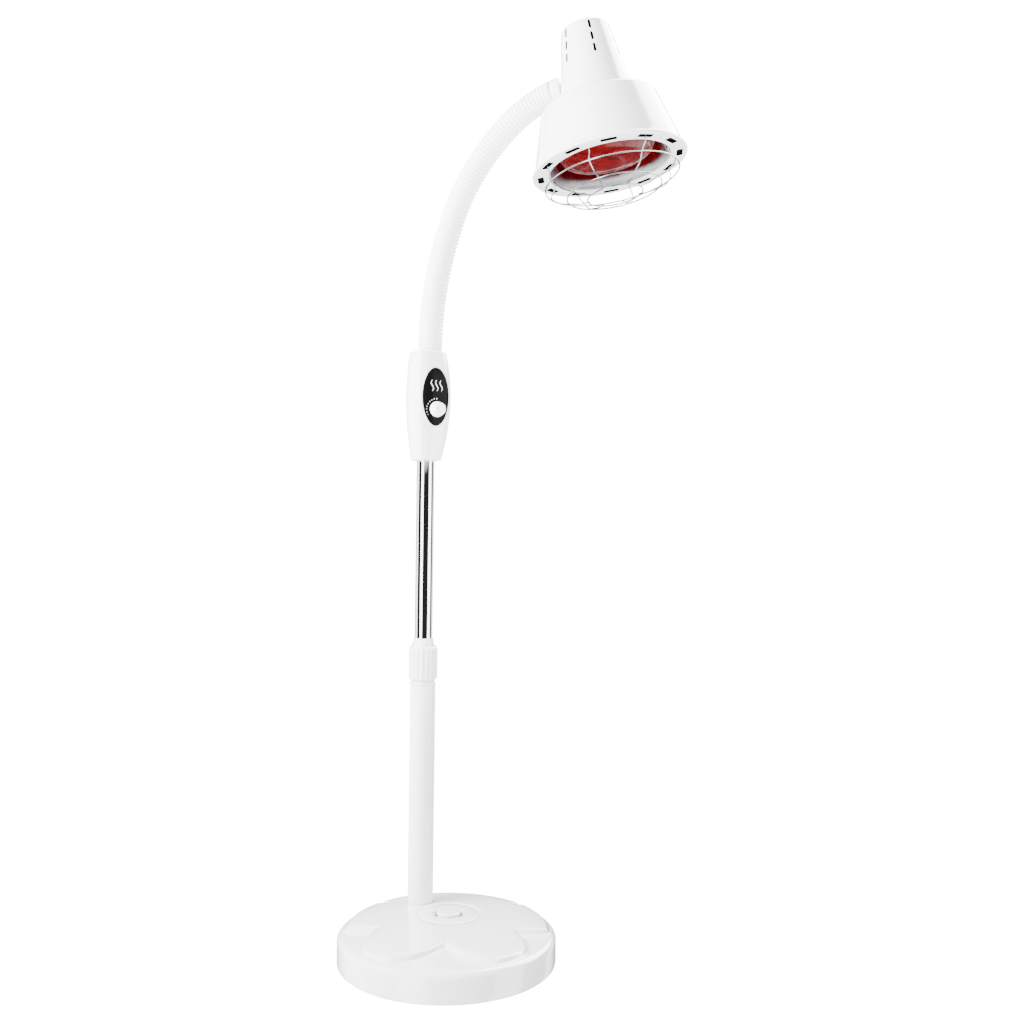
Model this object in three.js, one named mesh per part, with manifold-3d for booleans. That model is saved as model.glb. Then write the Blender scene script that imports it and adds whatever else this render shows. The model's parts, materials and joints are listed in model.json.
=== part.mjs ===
// Floor-standing infrared heat lamp: a weighted base, a telescopic pole, a control box,
// a gooseneck and a shade with one reflector bulb behind a wire guard.
// Millimetres, +Z up. The origin is the middle of the base's underside, on the floor.
import * as THREE from 'three';
import { mergeVertices } from 'three/addons/utils/BufferGeometryUtils.js';
import Module from 'manifold-3d';

const wasm = await Module();
wasm.setup();

// ---- driving dimensions ----
const GAP = 0.3;                    // clearance between pieces that touch
const DEG = Math.PI / 180;

const BASE_R = 140;                 // drum
const BASE_SIDE = 30;               // height of its straight side
const BASE_EDGE = 9;                // radius of its upper edge
const BASE_DOME = 5;                // how far the top rises towards the middle
const BASE_WALL = 3;
const DRUM_SIDES = 36;
const SAND_TOP = 21;                // level of the ballast inside
const PETALS = 6;
const PETAL_RISE = 6;
const PETAL_INNER = 99;             // radius of the notches between petals
const PETAL_OUTER = 160;            // radius of the petal tips
const PETAL_LIMIT = 133;            // petals are cut off here, near the drum's edge
const FLOWER_Y = 32;                // the flower sits round the drain plug, behind the middle of the drum
const PAD_R = 11;
const PAD_T = 2.4;
const PAD_RING = 112;

const PLUG_R = 16.5;                // fill plug flange
const PLUG_NECK_R = 13;
const PLUG_FOOT = 33;               // lower end of the plug's neck
const PLUG_SEAT = 45;               // flat the plug's seal sits on
const PLUG_FLANGE_T = 5;
const SEAL_T = 2;
const GRIP_BAR = 5;                 // finger bar across the plug

const BOLT_R = 3.9;                 // bolt up into the pole's foot
const BOLT_HEAD_R = 9;
const BOLT_POCKET = 8;
const SOCKET_WALL = 3;

const POLE_X = -41;                 // pole axis
const POLE_Y = 80.6;
const OUTER_R = 17;
const OUTER_WALL = 1.5;
const OUTER_BOTTOM = 10;
const OUTER_TOP = 342.6;
const CHROME_R = 12;
const CHROME_WALL = 1.2;
const CHROME_BOTTOM = 262;
const CHROME_TOP = 686;
const COLLAR_R = 19.5;
const COLLAR_BOTTOM = 349.4;
const COLLAR_TOP = 394.7;
const COLLET_TOP = 405;
const FLUTES = 18;
const COLLET_DEPTH = 18;            // how far the collet reaches down into the tube
const BUSH_LENGTH = 22;

const BOX_BOTTOM = 645;
const BOX_TOP = 791;
const BOX_WAIST = 729;              // height of its widest section
const BOX_TAPER = 5.2e-5;           // how fast it narrows away from there
const BOX_HALF_W = 28.5;
const BOX_FRONT = 30;               // from the pole axis to the front face
const BOX_BACK = 17.5;
const BOX_WALL = 2.4;
const BOX_SEAM = 0.88;              // the front cover's seam, as a share of the way to the front face
const BOX_TURN = 30;                // degrees, panel turned to the right
const KNOB_Z = 712.5;
const KNOB_R = 10.4;
const KNOB_FOOT = BOX_FRONT + 2.2;
const SHAFT_R = 3;
const SHAFT_HOLE_R = 4;
const PANEL_Z = 729.5;
const PANEL_HALF_W = 19.2;
const PANEL_HALF_H = 38.8;
const PANEL_T = 1.4;
const GLAND_Z = 757;
const GLAND_R = 5;
const SCREW_HEAD_Y = 15.2;          // top of the screw heads, behind the pole axis
const BOX_SCREWS = [{ x: -14.5, z: 690 }, { x: 14.5, z: 690 }, { x: -13.5, z: 776 }, { x: 13.5, z: 776 }];

const ARM_TURN = 26;                // degrees, gooseneck plane turned towards the front
const HOSE_R = 16.5;
const HOSE_WALL = 2.2;
const SPINE_R = 9;
const SPINE_WALL = 1.8;
const LEAD_R = 3.5;
const HOSE_START = { x: 4.8, z: 794.5 };
const HOSE_ARCS = [                             // each bend's length, and its turn in degrees
  { length: 183.5, turn: 22.1 },
  { length: 142, turn: 30 },
  { length: 81, turn: 26.3 },
];
const HOSE_LENGTH = 406.5;                      // up to the wall of the lamp's neck
const HOSE_CUTS = [0, 68, 154, 240, 326, 391];  // where one length ends and the next begins
const BEND_GAP = 6.6;                           // room at each bend
const HOSE_FOOT_GAP = 5;                        // the hose starts above its foot ring

// The hose meets the neck squarely.
const HEAD_TILT = HOSE_ARCS.reduce((sum, { turn }) => sum + turn, -90);
const ENTRY_HEIGHT = 117.8;         // hose entry above the rim
const ENTRY_R = 41;                 // neck radius there
const RIM_R = 98.5;
const MOUTH_R = 77.5;
const LIP_T = 2.8;
const SLOTS = 12;
const SLOT_RING_R = 88;
const SLOT_LENGTH = 20;
const SLOT_WIDTH = 8;
const SLOT_PHASE = 20.5;            // degrees from the arm plane
const NECK_BOTTOM = 86;
const NECK_FOOT_R = 46.9;
const NECK_TOP_R = 30.9;
const NECK_WALL = 2.4;
const NECK_TOP = 181;
const VENT_ROWS = 3;
const VENT_COLUMNS = [-120, -60, 0, 60, 120];   // degrees round the neck from the arm plane
const VENT_FIRST = 139;             // height of the lowest row
const VENT_PITCH = 16.7;
const VENT_LENGTH = 12;
const VENT_WIDTH = 3.4;
const NUT_LOW = 29.6;               // the ferrule's nut, from the neck axis
const WIRE_R = 1.1;
const RIBS = 8;
const RIB_PHASE = 2;                // degrees from the arm plane; every second rib hooks into a rim slot
const RIB_TWIST = 3.5;              // from a rib to the slot it hooks into
const HOOK_TOP = 7;
const INNER_RIB_R = 75.4;           // the other ribs end just inside the mouth
const GUARD_RINGS = [[85, -17], [60, -32], [35, -37.5]];  // radius, height below the rim
const HOLDER_R = 20;
const HOLDER_FOOT = 144;
const BRACKET_R = 27.2;
const BRACKET_TOP = 177.6;
const BRACKET_LOW = BRACKET_TOP - 1.6;
const BRACKET_SCREW_X = 12;
const CAP_R = 13.2;                 // bulb's screw cap

// ---- colours ----
const WHITE = { color: 0xf2f2f0, roughness: 0.35, metalness: 0 };
const BLACK = { color: 0x111111, roughness: 0.3, metalness: 0 };
const RUBBER = { color: 0x202020, roughness: 0.9, metalness: 0 };
const STEEL = { color: 0xb9bcc0, roughness: 0.35, metalness: 1 };
const CHROME = { color: 0xe2e4e8, roughness: 0.08, metalness: 1 };
const BRASS = { color: 0xc8a24a, roughness: 0.3, metalness: 1 };
const SAND = { color: 0xc2ab84, roughness: 1, metalness: 0 };
const CERAMIC = { color: 0xece8dd, roughness: 0.4, metalness: 0 };
const RED_GLASS = { color: 0xb3120c, roughness: 0.08, metalness: 0 };
const BOARD = { color: 0x1f5a34, roughness: 0.6, metalness: 0 };
const LEAD = { color: 0xdad7cf, roughness: 0.6, metalness: 0 };

// ---- solids ----
function toSolid(geometry) {
  geometry.deleteAttribute('normal');
  geometry.deleteAttribute('uv');
  const merged = mergeVertices(geometry, 1e-4);
  const index = merged.index.array;
  const triVerts = [];
  for (let i = 0; i < index.length; i += 3) {
    const [a, b, c] = [index[i], index[i + 1], index[i + 2]];
    if (a !== b && b !== c && c !== a) triVerts.push(a, b, c);
  }
  const mesh = new wasm.Mesh({
    numProp: 3,
    vertProperties: new Float32Array(merged.attributes.position.array),
    triVerts: new Uint32Array(triVerts),
  });
  const solid = new wasm.Manifold(mesh);
  if (solid.volume() > 0) return solid;
  for (let i = 0; i < triVerts.length; i += 3) {
    [triVerts[i], triVerts[i + 1]] = [triVerts[i + 1], triVerts[i]];
  }
  mesh.triVerts = new Uint32Array(triVerts);
  return new wasm.Manifold(mesh);
}

function toMesh(name, solid, look) {
  const mesh = solid.getMesh();
  const geometry = new THREE.BufferGeometry();
  geometry.setAttribute('position', new THREE.BufferAttribute(mesh.vertProperties, 3));
  geometry.setIndex(new THREE.BufferAttribute(mesh.triVerts, 1));
  geometry.computeVertexNormals();
  const piece = new THREE.Mesh(geometry, new THREE.MeshStandardMaterial(look));
  piece.name = name;
  return piece;
}

// A profile of [radius, height] points turned about Z. The profile closes on itself.
function turned(profile, segments = 20) {
  const points = [...profile, profile[0]].map(([r, z]) => new THREE.Vector2(r, z));
  return toSolid(new THREE.LatheGeometry(points, segments).rotateX(Math.PI / 2));
}

function disc(radius, low, high, segments = 20) {
  return turned([[0, low], [radius, low], [radius, high], [0, high]], segments);
}

function ring(inner, outer, low, high, segments = 20) {
  return turned([[inner, low], [outer, low], [outer, high], [inner, high]], segments);
}

function block(width, depth, height, x = 0, y = 0, z = 0) {
  return toSolid(new THREE.BoxGeometry(width, depth, height).translate(x, y, z));
}

// A flat outline in X and Y, given as [x, y] points, pushed up from low to high.
function prism(outline, low, high) {
  const shape = new THREE.Shape(outline.map(([x, y]) => new THREE.Vector2(x, y)));
  const options = { depth: high - low, bevelEnabled: false };
  return toSolid(new THREE.ExtrudeGeometry(shape, options).translate(0, 0, low));
}

function ellipseOutline(a, b, count = 24) {
  const points = [];
  for (let i = 0; i < count; i += 1) {
    const angle = (i / count) * 2 * Math.PI;
    points.push([a * Math.cos(angle), b * Math.sin(angle)]);
  }
  return points;
}

// A round rod of the given radius along a curve.
function rod(curve, radius, steps, sides = 6) {
  const shape = new THREE.Shape(ellipseOutline(radius, radius, sides)
    .map(([x, y]) => new THREE.Vector2(x, y)));
  return toSolid(new THREE.ExtrudeGeometry(shape, { steps, extrudePath: curve, bevelEnabled: false }));
}

// Puts a solid made around Z at a place, turned so that its Z axis points along a direction.
function placed(solid, x, y, z, direction = [0, 0, 1]) {
  const matrix = new THREE.Matrix4();
  const turn = new THREE.Quaternion().setFromUnitVectors(
    new THREE.Vector3(0, 0, 1), new THREE.Vector3(...direction).normalize());
  matrix.compose(new THREE.Vector3(x, y, z), turn, new THREE.Vector3(1, 1, 1));
  return solid.transform(matrix.elements);
}

function joined(...solids) {
  return solids.reduce((sum, solid) => sum.add(solid));
}

function around(count, radius, phase = 0) {
  const places = [];
  for (let i = 0; i < count; i += 1) {
    const angle = (phase + (i * 360) / count) * DEG;
    places.push({ x: radius * Math.cos(angle), y: radius * Math.sin(angle), angle });
  }
  return places;
}

// ---- base ----
const PAD_PLACES = around(4, PAD_RING, 45);
const SOCKET_R = OUTER_R + GAP;
const PLUG_WELL_R = PLUG_R + 3;
const CLEAR_ABOVE = 90;             // above everything in the base
const CLEAR_BELOW = -1;             // and below it

// The drum's section: flat below, a rounded edge, then a shallow dome.
function drumProfile(inset) {
  const points = [[0, inset], [BASE_R - inset, inset]];
  for (let step = 0; step <= 2; step += 1) {
    const angle = (step / 2) * 90 * DEG;
    const edge = BASE_EDGE - inset;
    points.push([BASE_R - BASE_EDGE + edge * Math.cos(angle), BASE_SIDE + edge * Math.sin(angle)]);
  }
  for (let step = 1; step <= 3; step += 1) {
    const part = step / 3;
    const radius = (BASE_R - BASE_EDGE) * (1 - part);
    const height = BASE_SIDE + BASE_EDGE - inset + BASE_DOME * (1 - (1 - part) ** 2);
    points.push([radius, height]);
  }
  return points;
}

function petalOutline() {
  const points = [];
  const perPetal = 6;
  for (let i = 0; i < PETALS * perPetal; i += 1) {
    const angle = (i / perPetal) * (360 / PETALS) * DEG;
    const swell = Math.abs(Math.sin((PETALS / 2) * angle));
    const radius = PETAL_INNER + (PETAL_OUTER - PETAL_INNER) * swell;
    const heading = angle - 90 * DEG;
    points.push([radius * Math.cos(heading), FLOWER_Y + radius * Math.sin(heading)]);
  }
  return points;
}

function baseShell() {
  const drum = turned(drumProfile(0), DRUM_SIDES);
  const raised = turned(drumProfile(0), DRUM_SIDES).translate([0, 0, PETAL_RISE])
    .add(turned(drumProfile(0), DRUM_SIDES))
    .intersect(disc(PETAL_LIMIT, BASE_WALL + 2, CLEAR_ABOVE, DRUM_SIDES))
    .intersect(prism(petalOutline(), BASE_WALL + 2, CLEAR_ABOVE));
  const hollow = turned(drumProfile(BASE_WALL), DRUM_SIDES);
  const ceiling = BASE_SIDE + BASE_EDGE + 2;
  const socketWall = disc(SOCKET_R + SOCKET_WALL, 1, ceiling).translate([POLE_X, POLE_Y, 0]);
  const plugWall = disc(PLUG_NECK_R + SOCKET_WALL, BASE_SIDE, ceiling).translate([0, FLOWER_Y, 0]);
  const poleHoles = joined(
    disc(SOCKET_R, OUTER_BOTTOM - GAP, CLEAR_ABOVE),
    disc(BOLT_HEAD_R + 1.5, CLEAR_BELOW, BOLT_POCKET, 24),
    disc(BOLT_R + 0.5, CLEAR_BELOW, BASE_SIDE));
  const plugHoles = joined(
    disc(PLUG_NECK_R + GAP, SAND_TOP + 1, CLEAR_ABOVE),
    disc(PLUG_WELL_R, PLUG_SEAT, CLEAR_ABOVE));
  let shell = drum.add(raised).subtract(hollow.subtract(socketWall).subtract(plugWall));
  shell = shell.subtract(poleHoles.translate([POLE_X, POLE_Y, 0]));
  shell = shell.subtract(plugHoles.translate([0, FLOWER_Y, 0]));
  for (const place of PAD_PLACES) {
    const pocket = disc(PAD_R + GAP, CLEAR_BELOW, PAD_T + GAP, 16);
    shell = shell.subtract(pocket.translate([place.x, place.y, 0]));
  }
  return shell;
}

function sandBallast() {
  const fill = disc(BASE_R - BASE_WALL - 1, BASE_WALL + GAP, SAND_TOP, DRUM_SIDES);
  const socket = disc(SOCKET_R + SOCKET_WALL + GAP, 0, CLEAR_ABOVE);
  const hopper = disc(PLUG_NECK_R + 4, SAND_TOP - 6, CLEAR_ABOVE, 24);
  return fill.subtract(socket.translate([POLE_X, POLE_Y, 0])).subtract(hopper.translate([0, FLOWER_Y, 0]));
}

function fillPlug() {
  const flangeLow = PLUG_SEAT + SEAL_T + 2 * GAP;
  const flangeTop = flangeLow + PLUG_FLANGE_T;
  const head = turned([[0, flangeLow], [PLUG_R, flangeLow], [PLUG_R, flangeTop - 1.5],
    [PLUG_R - 1.5, flangeTop], [0, flangeTop]]);
  const neck = disc(PLUG_NECK_R - 0.8, PLUG_FOOT, flangeLow + 1, 32);
  const bar = block(GRIP_BAR, 2 * PLUG_R, 4 * PLUG_FLANGE_T, 0, 0, flangeLow);
  const recess = disc(PLUG_R - 5, flangeLow + 1.5, CLEAR_ABOVE, 32).subtract(bar);
  return head.add(neck).subtract(recess).translate([0, FLOWER_Y, 0]);
}

function addBase(lamp) {
  lamp.add(toMesh('base_shell', baseShell(), WHITE));
  lamp.add(toMesh('sand_ballast', sandBallast(), SAND));
  PAD_PLACES.forEach((place, i) => {
    const pad = disc(PAD_R, 0, PAD_T, 16).translate([place.x, place.y, 0]);
    lamp.add(toMesh(`grip_pad_${i + 1}`, pad, RUBBER));
  });
  const seal = ring(PLUG_NECK_R - GAP, PLUG_R + 1, PLUG_SEAT + GAP, PLUG_SEAT + GAP + SEAL_T, 32);
  lamp.add(toMesh('plug_seal', seal.translate([0, FLOWER_Y, 0]), RUBBER));
  lamp.add(toMesh('fill_plug', fillPlug(), WHITE));
}

// ---- pole ----
function poleBolt() {
  const head = prism(around(6, BOLT_HEAD_R, 0).map(({ x, y }) => [x, y]), 1.5, BOLT_POCKET - GAP);
  return head.add(disc(BOLT_R, BOLT_POCKET - 1, 24));
}

function footInsert() {
  const plug = disc(OUTER_R - OUTER_WALL - GAP, OUTER_BOTTOM, 27, 32);
  return plug.subtract(disc(BOLT_R + GAP, 0, 26));
}

// The collet's lower half sits in the tube, its slit fingers stand inside the collar.
function collet() {
  const inner = CHROME_R + GAP;
  const tubeBore = OUTER_R - OUTER_WALL - GAP;
  const foot = OUTER_TOP - COLLET_DEPTH;
  const body = turned([[inner, foot], [tubeBore, foot], [tubeBore, OUTER_TOP + 7.5],
    [OUTER_R - 1, OUTER_TOP + 9], [OUTER_R - 1, COLLAR_TOP - 14], [COLLAR_R - 5, COLLAR_TOP - 2],
    [CHROME_R + 2.6, COLLET_TOP], [inner, COLLET_TOP]]);
  let slit = body;
  for (const place of around(3, 13, 90)) {
    const saw = block(8, 1.6, 40).rotate([0, 0, place.angle / DEG]);
    slit = slit.subtract(saw.translate([place.x, place.y, COLLET_TOP - 4]));
  }
  return slit;
}

function lockCollar() {
  const inner = OUTER_R - 1 + GAP;
  const body = turned([[inner, COLLAR_BOTTOM], [COLLAR_R - 2, COLLAR_BOTTOM],
    [COLLAR_R, COLLAR_BOTTOM + 2.5], [COLLAR_R, COLLAR_TOP - 3], [COLLAR_R - 2, COLLAR_TOP],
    [COLLAR_R - 4.4, COLLAR_TOP], [COLLAR_R - 4.4, COLLAR_TOP - 2.5], [inner, COLLAR_TOP - 12.5]]);
  let fluted = body;
  for (const place of around(FLUTES, COLLAR_R + 0.5)) {
    const groove = disc(1, COLLAR_BOTTOM - 1, COLLAR_TOP + 1, 4);
    fluted = fluted.subtract(groove.translate([place.x, place.y, 0]));
  }
  return fluted;
}

function addPole(mast) {
  mast.add(toMesh('outer_tube', ring(OUTER_R - OUTER_WALL, OUTER_R, OUTER_BOTTOM, OUTER_TOP), WHITE));
  mast.add(toMesh('tube_foot_insert', footInsert(), STEEL));
  mast.add(toMesh('pole_bolt', poleBolt(), STEEL));
  const ringInner = OUTER_R - OUTER_WALL;
  const topRing = turned([[ringInner, OUTER_TOP + GAP], [OUTER_R, OUTER_TOP + GAP], [OUTER_R, OUTER_TOP + 3.6],
    [OUTER_R - 0.5, OUTER_TOP + 4.1], [ringInner, OUTER_TOP + 4.1]]);
  mast.add(toMesh('tube_top_ring', topRing, WHITE));
  mast.add(toMesh('collet', collet(), WHITE));
  mast.add(toMesh('lock_collar', lockCollar(), WHITE));
  const tubeBore = OUTER_R - OUTER_WALL - GAP;
  const bush = ring(CHROME_R + GAP, tubeBore, CHROME_BOTTOM, CHROME_BOTTOM + BUSH_LENGTH);
  mast.add(toMesh('guide_bush', bush, BLACK));
  const chrome = ring(CHROME_R - CHROME_WALL, CHROME_R, CHROME_BOTTOM, CHROME_TOP);
  mast.add(toMesh('chrome_tube', chrome, CHROME));
}

// ---- control box: local -Y is the way its panel faces ----
function boxScale(z) {
  return 1 - BOX_TAPER * (z - BOX_WAIST) ** 2;
}

// The box's outside, drawn in by inset: a barrel whose sections are rounded squares.
function barrel(inset, low, high, rows = 5) {
  const profile = [[0, low]];
  for (let row = 0; row <= rows; row += 1) profile.push([1, low + ((high - low) * row) / rows]);
  profile.push([0, high]);
  const points = profile.map(([r, z]) => new THREE.Vector2(r, z));
  const geometry = new THREE.LatheGeometry(points, 24).rotateX(Math.PI / 2);
  const position = geometry.attributes.position;
  const squareness = 3;
  for (let i = 0; i < position.count; i += 1) {
    const [x, y, z] = [position.getX(i), position.getY(i), position.getZ(i)];
    const scale = boxScale(z);
    const front = BOX_FRONT * scale - inset;
    const halfDepth = (front + BOX_BACK - inset) / 2;
    const halfWidth = BOX_HALF_W * scale - inset;
    const size = (Math.abs(x) ** squareness + Math.abs(y) ** squareness) ** (1 / squareness);
    const fit = size > 0 ? Math.hypot(x, y) / size : 0;
    position.setX(i, x * fit * halfWidth);
    position.setY(i, y * fit * halfDepth - front + halfDepth);
  }
  return toSolid(geometry);
}

function seamDepth(z) {
  return -BOX_SEAM * BOX_FRONT * boxScale(z);
}

// Everything between a depth and the curved seam, moved back by offset.
function seamSide(depth, offset) {
  const outline = [[depth, BOX_BOTTOM - 5], [depth, BOX_TOP + 5]];
  const steps = 6;
  for (let i = 0; i <= steps; i += 1) {
    const z = BOX_TOP + 5 + (i / steps) * (BOX_BOTTOM - BOX_TOP - 10);
    outline.push([seamDepth(z) + offset, z]);
  }
  return prism(outline, -BOX_HALF_W - 5, BOX_HALF_W + 5)
    .transform([0, 1, 0, 0, 0, 0, 1, 0, 1, 0, 0, 0, 0, 0, 0, 1]);
}

function boxShells() {
  const outside = barrel(0, BOX_BOTTOM, BOX_TOP);
  const inside = barrel(BOX_WALL, BOX_BOTTOM + BOX_WALL, BOX_TOP - BOX_WALL);
  let shell = outside.subtract(inside);
  shell = shell.subtract(disc(CHROME_R + GAP, BOX_BOTTOM - 1, BOX_BOTTOM + 10));
  const hoseTurn = (ARM_TURN + BOX_TURN) * DEG;
  const hoseHole = disc(SPINE_R + 1, BOX_TOP - 10, BOX_TOP + 5);
  shell = shell.subtract(hoseHole.translate([
    HOSE_START.x * Math.cos(hoseTurn), -HOSE_START.x * Math.sin(hoseTurn), 0]));
  let front = shell.intersect(seamSide(-2 * BOX_FRONT, 0));
  let rear = shell.subtract(seamSide(-2 * BOX_FRONT, GAP));
  front = front.subtract(placed(disc(SHAFT_HOLE_R, 0, 40), 0, 0, KNOB_Z, [0, -1, 0]));
  for (const place of BOX_SCREWS) {
    const seam = seamDepth(place.z) - 1;
    const skin = -BOX_FRONT * boxScale(place.z) + 2;
    const boss = placed(disc(3.2, skin, seam, 8), place.x, 0, place.z, [0, 1, 0]);
    front = front.add(boss).subtract(placed(disc(1.6, seam - 3, 0, 8), place.x, 0, place.z, [0, 1, 0]));
    rear = rear.subtract(placed(disc(2.2, seam - 3, 40, 8), place.x, 0, place.z, [0, 1, 0]));
    const headHole = disc(3.9, SCREW_HEAD_Y - 1.7, 40, 10);
    rear = rear.subtract(placed(headHole, place.x, 0, place.z, [0, 1, 0]));
  }
  rear = rear.subtract(placed(disc(GLAND_R + GAP, 0, 40), 0, 0, GLAND_Z, [0, 1, 0]));
  return { front, rear };
}

function boxScrew({ x, z }) {
  const top = placed(disc(3.3, SCREW_HEAD_Y - 1.4, SCREW_HEAD_Y, 8), x, 0, z, [0, 1, 0]);
  return top.add(placed(disc(1.2, seamDepth(z) - 2, SCREW_HEAD_Y - 1, 6), x, 0, z, [0, 1, 0]));
}

// A thin domed plate on the front cover.
function controlPanel() {
  const slab = barrel(-GAP - PANEL_T, BOX_BOTTOM + 10, BOX_TOP - 5)
    .subtract(barrel(-GAP, BOX_BOTTOM + 10, BOX_TOP - 5));
  const oval = prism(ellipseOutline(PANEL_HALF_W, PANEL_HALF_H), 0, 60).rotate([90, 0, 0])
    .translate([0, 0, PANEL_Z]);
  return slab.intersect(oval).subtract(placed(disc(SHAFT_HOLE_R + 0.6, 0, 60), 0, 0, KNOB_Z, [0, -1, 0]));
}

function dimmerKnob() {
  const foot = KNOB_FOOT;
  const bore = SHAFT_R + GAP;
  return turned([[bore, foot], [KNOB_R, foot], [KNOB_R, foot + 2], [KNOB_R - 1.2, foot + 3],
    [KNOB_R - 1.8, foot + 10], [KNOB_R - 3.2, foot + 11.4], [0, foot + 11.8], [0, foot + 8], [bore, foot + 8]]);
}

function addControlBox(box) {
  const { front, rear } = boxShells();
  box.add(toMesh('box_front_shell', front, WHITE));
  box.add(toMesh('box_rear_shell', rear, WHITE));
  box.add(toMesh('control_panel', controlPanel(), BLACK));
  BOX_SCREWS.forEach((place, i) => box.add(toMesh(`box_screw_${i + 1}`, boxScrew(place), STEEL)));
  const forward = (solid) => placed(solid, 0, 0, KNOB_Z, [0, -1, 0]);
  box.add(toMesh('dimmer_knob', forward(dimmerKnob()), WHITE));
  const shaft = disc(SHAFT_R, 13.5, KNOB_FOOT + 7.6, 16);
  box.add(toMesh('dimmer_shaft', forward(shaft), STEEL));
  const can = block(19, 9, 19, 0, -18.5, KNOB_Z);
  box.add(toMesh('dimmer_module', can.subtract(forward(disc(SHAFT_R + 0.4, 5, 40, 16))), BLACK));
  box.add(toMesh('dimmer_board', block(34, 1.6, 66, 0, -12.3, 737), BOARD));
  const clamp = ring(CHROME_R + GAP, CHROME_R + 2.2, BOX_BOTTOM + 12, BOX_BOTTOM + 30, 32);
  box.add(toMesh('tube_clamp', clamp, STEEL));
  const gland = turned([[2.6, 6], [GLAND_R, 6], [GLAND_R, BOX_BACK + GAP], [GLAND_R + 2, BOX_BACK + GAP],
    [GLAND_R + 2, BOX_BACK + 3], [GLAND_R + 0.4, BOX_BACK + 8], [2.6, BOX_BACK + 8]], 24);
  box.add(toMesh('inlet_gland', placed(gland, 0, 0, GLAND_Z, [0, 1, 0]), BLACK));
}

// ---- gooseneck, drawn in its own plane: X towards the head, Z up ----
class HoseCurve extends THREE.Curve {
  constructor(from, to) {
    super();
    this.from = from;
    this.to = to;
  }

  getPoint(part, target = new THREE.Vector3()) {
    const { x, z } = hosePoint(this.from + (this.to - this.from) * part);
    return target.set(x, 0, z);
  }
}

function arcPoint(start, heading, arc, length) {
  const radius = arc.length / (arc.turn * DEG);
  const end = heading + length / radius;
  return {
    x: start.x + radius * (Math.cos(heading) - Math.cos(end)),
    z: start.z + radius * (Math.sin(end) - Math.sin(heading)),
    heading: end,
  };
}

// The point at a distance along the hose, and its heading away from straight up.
function hosePoint(length) {
  let point = { ...HOSE_START, heading: 0 };
  let left = length;
  for (const arc of HOSE_ARCS) {
    const last = arc === HOSE_ARCS[HOSE_ARCS.length - 1];
    const part = last ? left : Math.min(left, arc.length);
    point = arcPoint(point, point.heading, arc, part);
    left -= part;
  }
  return point;
}

function hosePipe(from, to, outer, inner, sides) {
  const steps = Math.max(2, Math.round((to - from) / 24));
  const body = rod(new HoseCurve(from, to), outer, steps, sides);
  return body.subtract(rod(new HoseCurve(from - 1, to + 1), inner, steps, sides));
}

function addGooseneck(arm) {
  for (let i = 1; i < HOSE_CUTS.length; i += 1) {
    const from = HOSE_CUTS[i - 1] + (i === 1 ? HOSE_FOOT_GAP : BEND_GAP / 2);
    const to = HOSE_CUTS[i] - (i === HOSE_CUTS.length - 1 ? 0 : BEND_GAP / 2);
    arm.add(toMesh(`hose_${i}`, hosePipe(from, to, HOSE_R, HOSE_R - HOSE_WALL, 12), WHITE));
    arm.add(toMesh(`spine_${i}`, hosePipe(from, to, SPINE_R, SPINE_R - SPINE_WALL, 8), STEEL));
    arm.add(toMesh(`lead_${i}`, rod(new HoseCurve(from, to), LEAD_R, 3), LEAD));
  }
  const baseRing = turned([[SPINE_R + GAP, -3.2], [HOSE_R + 1.2, -3.2], [HOSE_R + 1.6, -1],
    [HOSE_R + 0.4, 4.6], [SPINE_R + GAP, 4.6]]);
  arm.add(toMesh('hose_base_ring', placed(baseRing, HOSE_START.x, 0, HOSE_START.z), WHITE));
}

// ---- lamp head: local Z runs from the rim up to the neck ----
function shade() {
  const outer = [[RIM_R, LIP_T], [94.6, 6], [74.2, 77], [72.6, 79.6], [44, 85.2]];
  const inner = [[44, 82.6], [70.6, 77.4], [71.8, 76], [92, 7], [92, LIP_T], [MOUTH_R, LIP_T]];
  let shell = turned([[MOUTH_R, 0], [RIM_R, 0], ...outer, ...inner], 36);
  for (const place of around(SLOTS, SLOT_RING_R, SLOT_PHASE)) {
    const slot = block(SLOT_WIDTH, SLOT_LENGTH, 12).rotate([0, 0, place.angle / DEG]);
    shell = shell.subtract(slot.translate([place.x, place.y, LIP_T / 2]));
  }
  return shell;
}

function neckHousing() {
  const outer = [[NECK_FOOT_R, NECK_BOTTOM], [NECK_TOP_R, NECK_TOP - 1], [NECK_TOP_R - 1.4, NECK_TOP + 0.6],
    [16, NECK_TOP + 3], [0, NECK_TOP + 3.8]];
  const inner = [[0, NECK_TOP + 1.6], [15.6, NECK_TOP + 0.8], [NECK_TOP_R - 1 - NECK_WALL, NECK_TOP - 1.4],
    [NECK_FOOT_R - NECK_WALL, NECK_BOTTOM]];
  let neck = turned([...outer, ...inner], 24);
  neck = neck.subtract(placed(disc(8.4, 0, 60, 24), 0, 0, ENTRY_HEIGHT, [-1, 0, 0]));
  for (const column of VENT_COLUMNS) {
    for (let row = 0; row < VENT_ROWS; row += 1) {
      const slot = block(16, VENT_WIDTH, VENT_LENGTH, 33, 0, VENT_FIRST + row * VENT_PITCH);
      neck = neck.subtract(slot.rotate([0, 0, column]));
    }
  }
  return neck;
}

function endFitting() {
  const far = ENTRY_R + 14.6;
  const ferrule = turned([[LEAD_R + 1, NUT_LOW - 1], [8, NUT_LOW - 1], [8, ENTRY_R + 3.4], [15.2, ENTRY_R + 3.4],
    [HOSE_R - 0.2, far - 4], [HOSE_R - 0.2, far], [LEAD_R + 1, far]]);
  const nut = ring(8 + GAP, 12, NUT_LOW, NUT_LOW + 4);
  const inward = (solid) => placed(solid, 0, 0, ENTRY_HEIGHT, [-1, 0, 0]);
  return { ferrule: inward(ferrule), nut: inward(nut) };
}

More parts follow.
